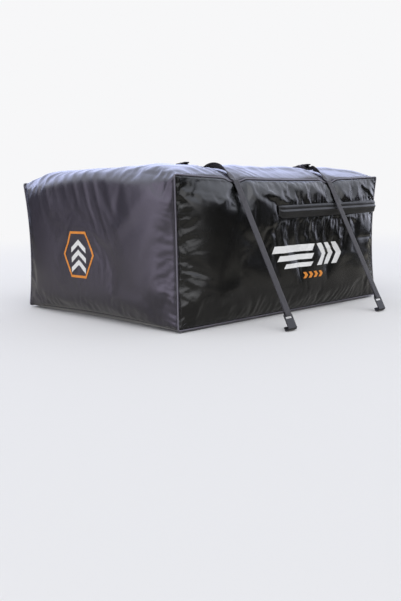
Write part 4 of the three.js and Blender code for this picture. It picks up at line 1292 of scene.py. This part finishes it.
def print_end():
    tree, f = panel_tree("top_wrap_cloth"), wrap_face
    y, s = 38.0, 198.0
    half, thick, rise = 40.0, 17.0, 26.0
    printed("end_print_ring", tree, f, six_sided(y, s, 76, 85), 3, 96, ink_orange)
    for i, base in enumerate((220, 188, 156)):
        rule = peak(y - half, y + half, base - thick, base, rise)
        printed(f"end_print_peak_{i}", tree, f, rule, 24, 6, ink_white)


print_side()
print_end()


# Floor, backdrop and light
def colour_steps(nodes, links, value, stops):
    ramp = nodes.new("ShaderNodeValToRGB")
    elements = ramp.color_ramp.elements
    elements[0].position, elements[0].color = stops[0][0], (*stops[0][1], 1)
    elements[1].position, elements[1].color = stops[-1][0], (*stops[-1][1], 1)
    for position, colour in stops[1:-1]:
        elements.new(position).color = (*colour, 1)
    links.new(value, ramp.inputs[0])
    return ramp.outputs[0]


def steps_between(nodes, links, value, low, high):
    """Rises softly from 0 at low to 1 at high."""
    n = nodes.new("ShaderNodeMapRange")
    n.interpolation_type = "SMOOTHSTEP"
    n.inputs["From Min"].default_value = low
    n.inputs["From Max"].default_value = high
    links.new(value, n.inputs["Value"])
    return n.outputs[0]


def vector_node(nodes, links, op, vector, other=None):
    n = nodes.new("ShaderNodeVectorMath")
    n.operation = op
    links.new(vector, n.inputs[0])
    if other:
        n.inputs[1].default_value = other
    return n.outputs["Vector"] if op == "NORMALIZE" else n.outputs["Value"]


def mix_shader(nodes, links, factor, first, second):
    n = nodes.new("ShaderNodeMixShader")
    for value, socket in zip((factor, first, second), n.inputs):
        links.new(value, socket)
    return n.outputs[0]


STUDIO_WHITE = (0.93, 0.93, 0.94, 1)


def stage_material():
    """Pale floor that fades into the white far off; in reflections it shows as a duller glow, a painted
    reflection set by distance and direction.
    """
    m, nodes, links, bsdf = new_material("pale_floor")
    bsdf.inputs["Base Color"].default_value = (0.82, 0.82, 0.83, 1)
    bsdf.inputs["Roughness"].default_value = 0.85
    bsdf.inputs["Specular IOR Level"].default_value = 0.2
    here, fade_from, fade_to = object_place(nodes), 1.2, 6.0
    far = vector_node(nodes, links, "LENGTH", here)
    fade = steps_between(nodes, links, far, fade_from, fade_to)
    white = nodes.new("ShaderNodeEmission")
    white.inputs[0].default_value = STUDIO_WHITE
    painted_reflection_glow = nodes.new("ShaderNodeEmission")
    # Brightness of the painted reflection by distance: a stop at 1 stands for 5 m from the middle.
    near = colour_steps(nodes, links, math_node(nodes, links, "MULTIPLY", far, 0.2), [
        (0.0, (0.22, 0.22, 0.22)), (0.2, (0.36, 0.35, 0.34)), (0.31, (0.55, 0.53, 0.48)),
        (0.4, (0.22, 0.21, 0.19)), (0.5, (0.05, 0.05, 0.048)), (1.0, (0.015, 0.015, 0.015)),
    ])
    # Far off to the left the painted reflection is as pale as the wall that stands there in the world.
    level = vector_node(nodes, links, "NORMALIZE", here)
    aside = vector_node(nodes, links, "DOT_PRODUCT", level, (-0.97, 0.24, 0.0))
    past = math_node(nodes, links, "SUBTRACT", aside, 0.82)
    leftward = math_node(nodes, links, "MULTIPLY", past, 7.0, use_clamp=True)
    distant = math_node(nodes, links, "SUBTRACT", far, fade_from, use_clamp=True)
    pale = math_node(nodes, links, "MULTIPLY", leftward, distant)
    links.new(mix_colour(nodes, links, pale, near, (1.25, 1.15, 1.45)), painted_reflection_glow.inputs[0])
    # Camera rays see the floor fade to white; glossy rays see only the glowing painted reflection.
    path = nodes.new("ShaderNodeLightPath")
    seen = math_node(nodes, links, "MULTIPLY", fade, path.outputs["Is Camera Ray"])
    to_white = mix_shader(nodes, links, seen, bsdf.outputs[0], white.outputs[0])
    to_painted_reflection = mix_shader(nodes, links, path.outputs["Is Glossy Ray"], to_white, painted_reflection_glow.outputs[0])
    links.new(to_painted_reflection, nodes["Material Output"].inputs[0])
    return m


def make_floor():
    bm = bmesh.new()
    bmesh.ops.create_grid(bm, x_segments=1, y_segments=1, size=30.0)
    floor = finish_mesh("floor", bm, stage_material(), False)


make_floor()


def soft_sun(name, aim_from, strength, spread, colour):
    data = bpy.data.lights.new(name, "SUN")
    data.energy = strength
    data.angle = math.radians(spread)
    data.color = colour
    obj = bpy.data.objects.new(name, data)
    bpy.context.scene.collection.objects.link(obj)
    direction = -Vector(aim_from)
    obj.matrix_world = direction.to_track_quat("-Z", "Y").to_matrix().to_4x4()


soft_sun("key_light", (-0.4, -0.55, 0.75), 1.1, 70, (1.0, 0.99, 0.98))


def make_world():
    """White to the camera, an even dome to light by, and a sky with a dark skyline to reflect."""
    world = bpy.data.worlds.new("studio")
    world.use_nodes = True
    bpy.context.scene.world = world
    nodes, links = world.node_tree.nodes, world.node_tree.links
    background = nodes["Background"]
    coordinate = nodes.new("ShaderNodeTexCoord")
    split = nodes.new("ShaderNodeSeparateXYZ")
    links.new(coordinate.outputs["Generated"], split.inputs[0])
    height = split.outputs[2]
    skyline = colour_steps(nodes, links, height, [
        (0.0, (0.01, 0.01, 0.01)), (0.12, (0.013, 0.013, 0.013)), (0.25, (0.15, 0.155, 0.17)),
        (0.38, (1.25, 1.3, 1.45)), (1.0, (1.7, 1.8, 2.1)),
    ])
    open_sky = colour_steps(nodes, links, height, [
        (0.0, (1.45, 1.6, 2.2)), (0.3, (2.0, 2.2, 3.3)), (1.0, (1.8, 1.95, 2.4)),
    ])

    def towards(direction, low, high):
        dot = vector_node(nodes, links, "DOT_PRODUCT", coordinate.outputs["Generated"], direction)
        return steps_between(nodes, links, dot, low, high)

    sky = mix_colour(nodes, links, towards((0.4, 0.7, 0.6), 0.7, 0.92), skyline, open_sky)
    # A bright opening off to the right shines in the rear end of the black side.
    opening = towards((0.99, -0.087, 0.1), 0.85, 0.97)
    sky = mix_colour(nodes, links, opening, sky, (1.35, 1.4, 1.65))
    # A pale wall off to the left of the camera shines in the near end of the front.
    left = towards((-0.97, 0.24, 0.05), 0.8, 0.96)
    sky = mix_colour(nodes, links, left, sky, (2.1, 1.9, 2.5))
    # One behind the camera shines in the gathers by the upright seam.
    behind = towards((-0.06, -0.99, 0.1), 0.84, 0.975)
    sky = mix_colour(nodes, links, behind, sky, (1.5, 1.5, 1.55))
    links.new(sky, background.inputs[0])
    path = nodes.new("ShaderNodeLightPath")
    dome = nodes.new("ShaderNodeBackground")
    dome.inputs[0].default_value = (0.72, 0.73, 0.76, 1)
    white = nodes.new("ShaderNodeBackground")
    white.inputs[0].default_value = STUDIO_WHITE
    by_gloss = mix_shader(nodes, links, path.outputs["Is Glossy Ray"], dome.outputs[0], background.outputs[0])
    by_view = mix_shader(nodes, links, path.outputs["Is Camera Ray"], by_gloss, white.outputs[0])
    links.new(by_view, nodes["World Output"].inputs[0])


make_world()
bpy.context.scene.view_settings.view_transform = "Standard"
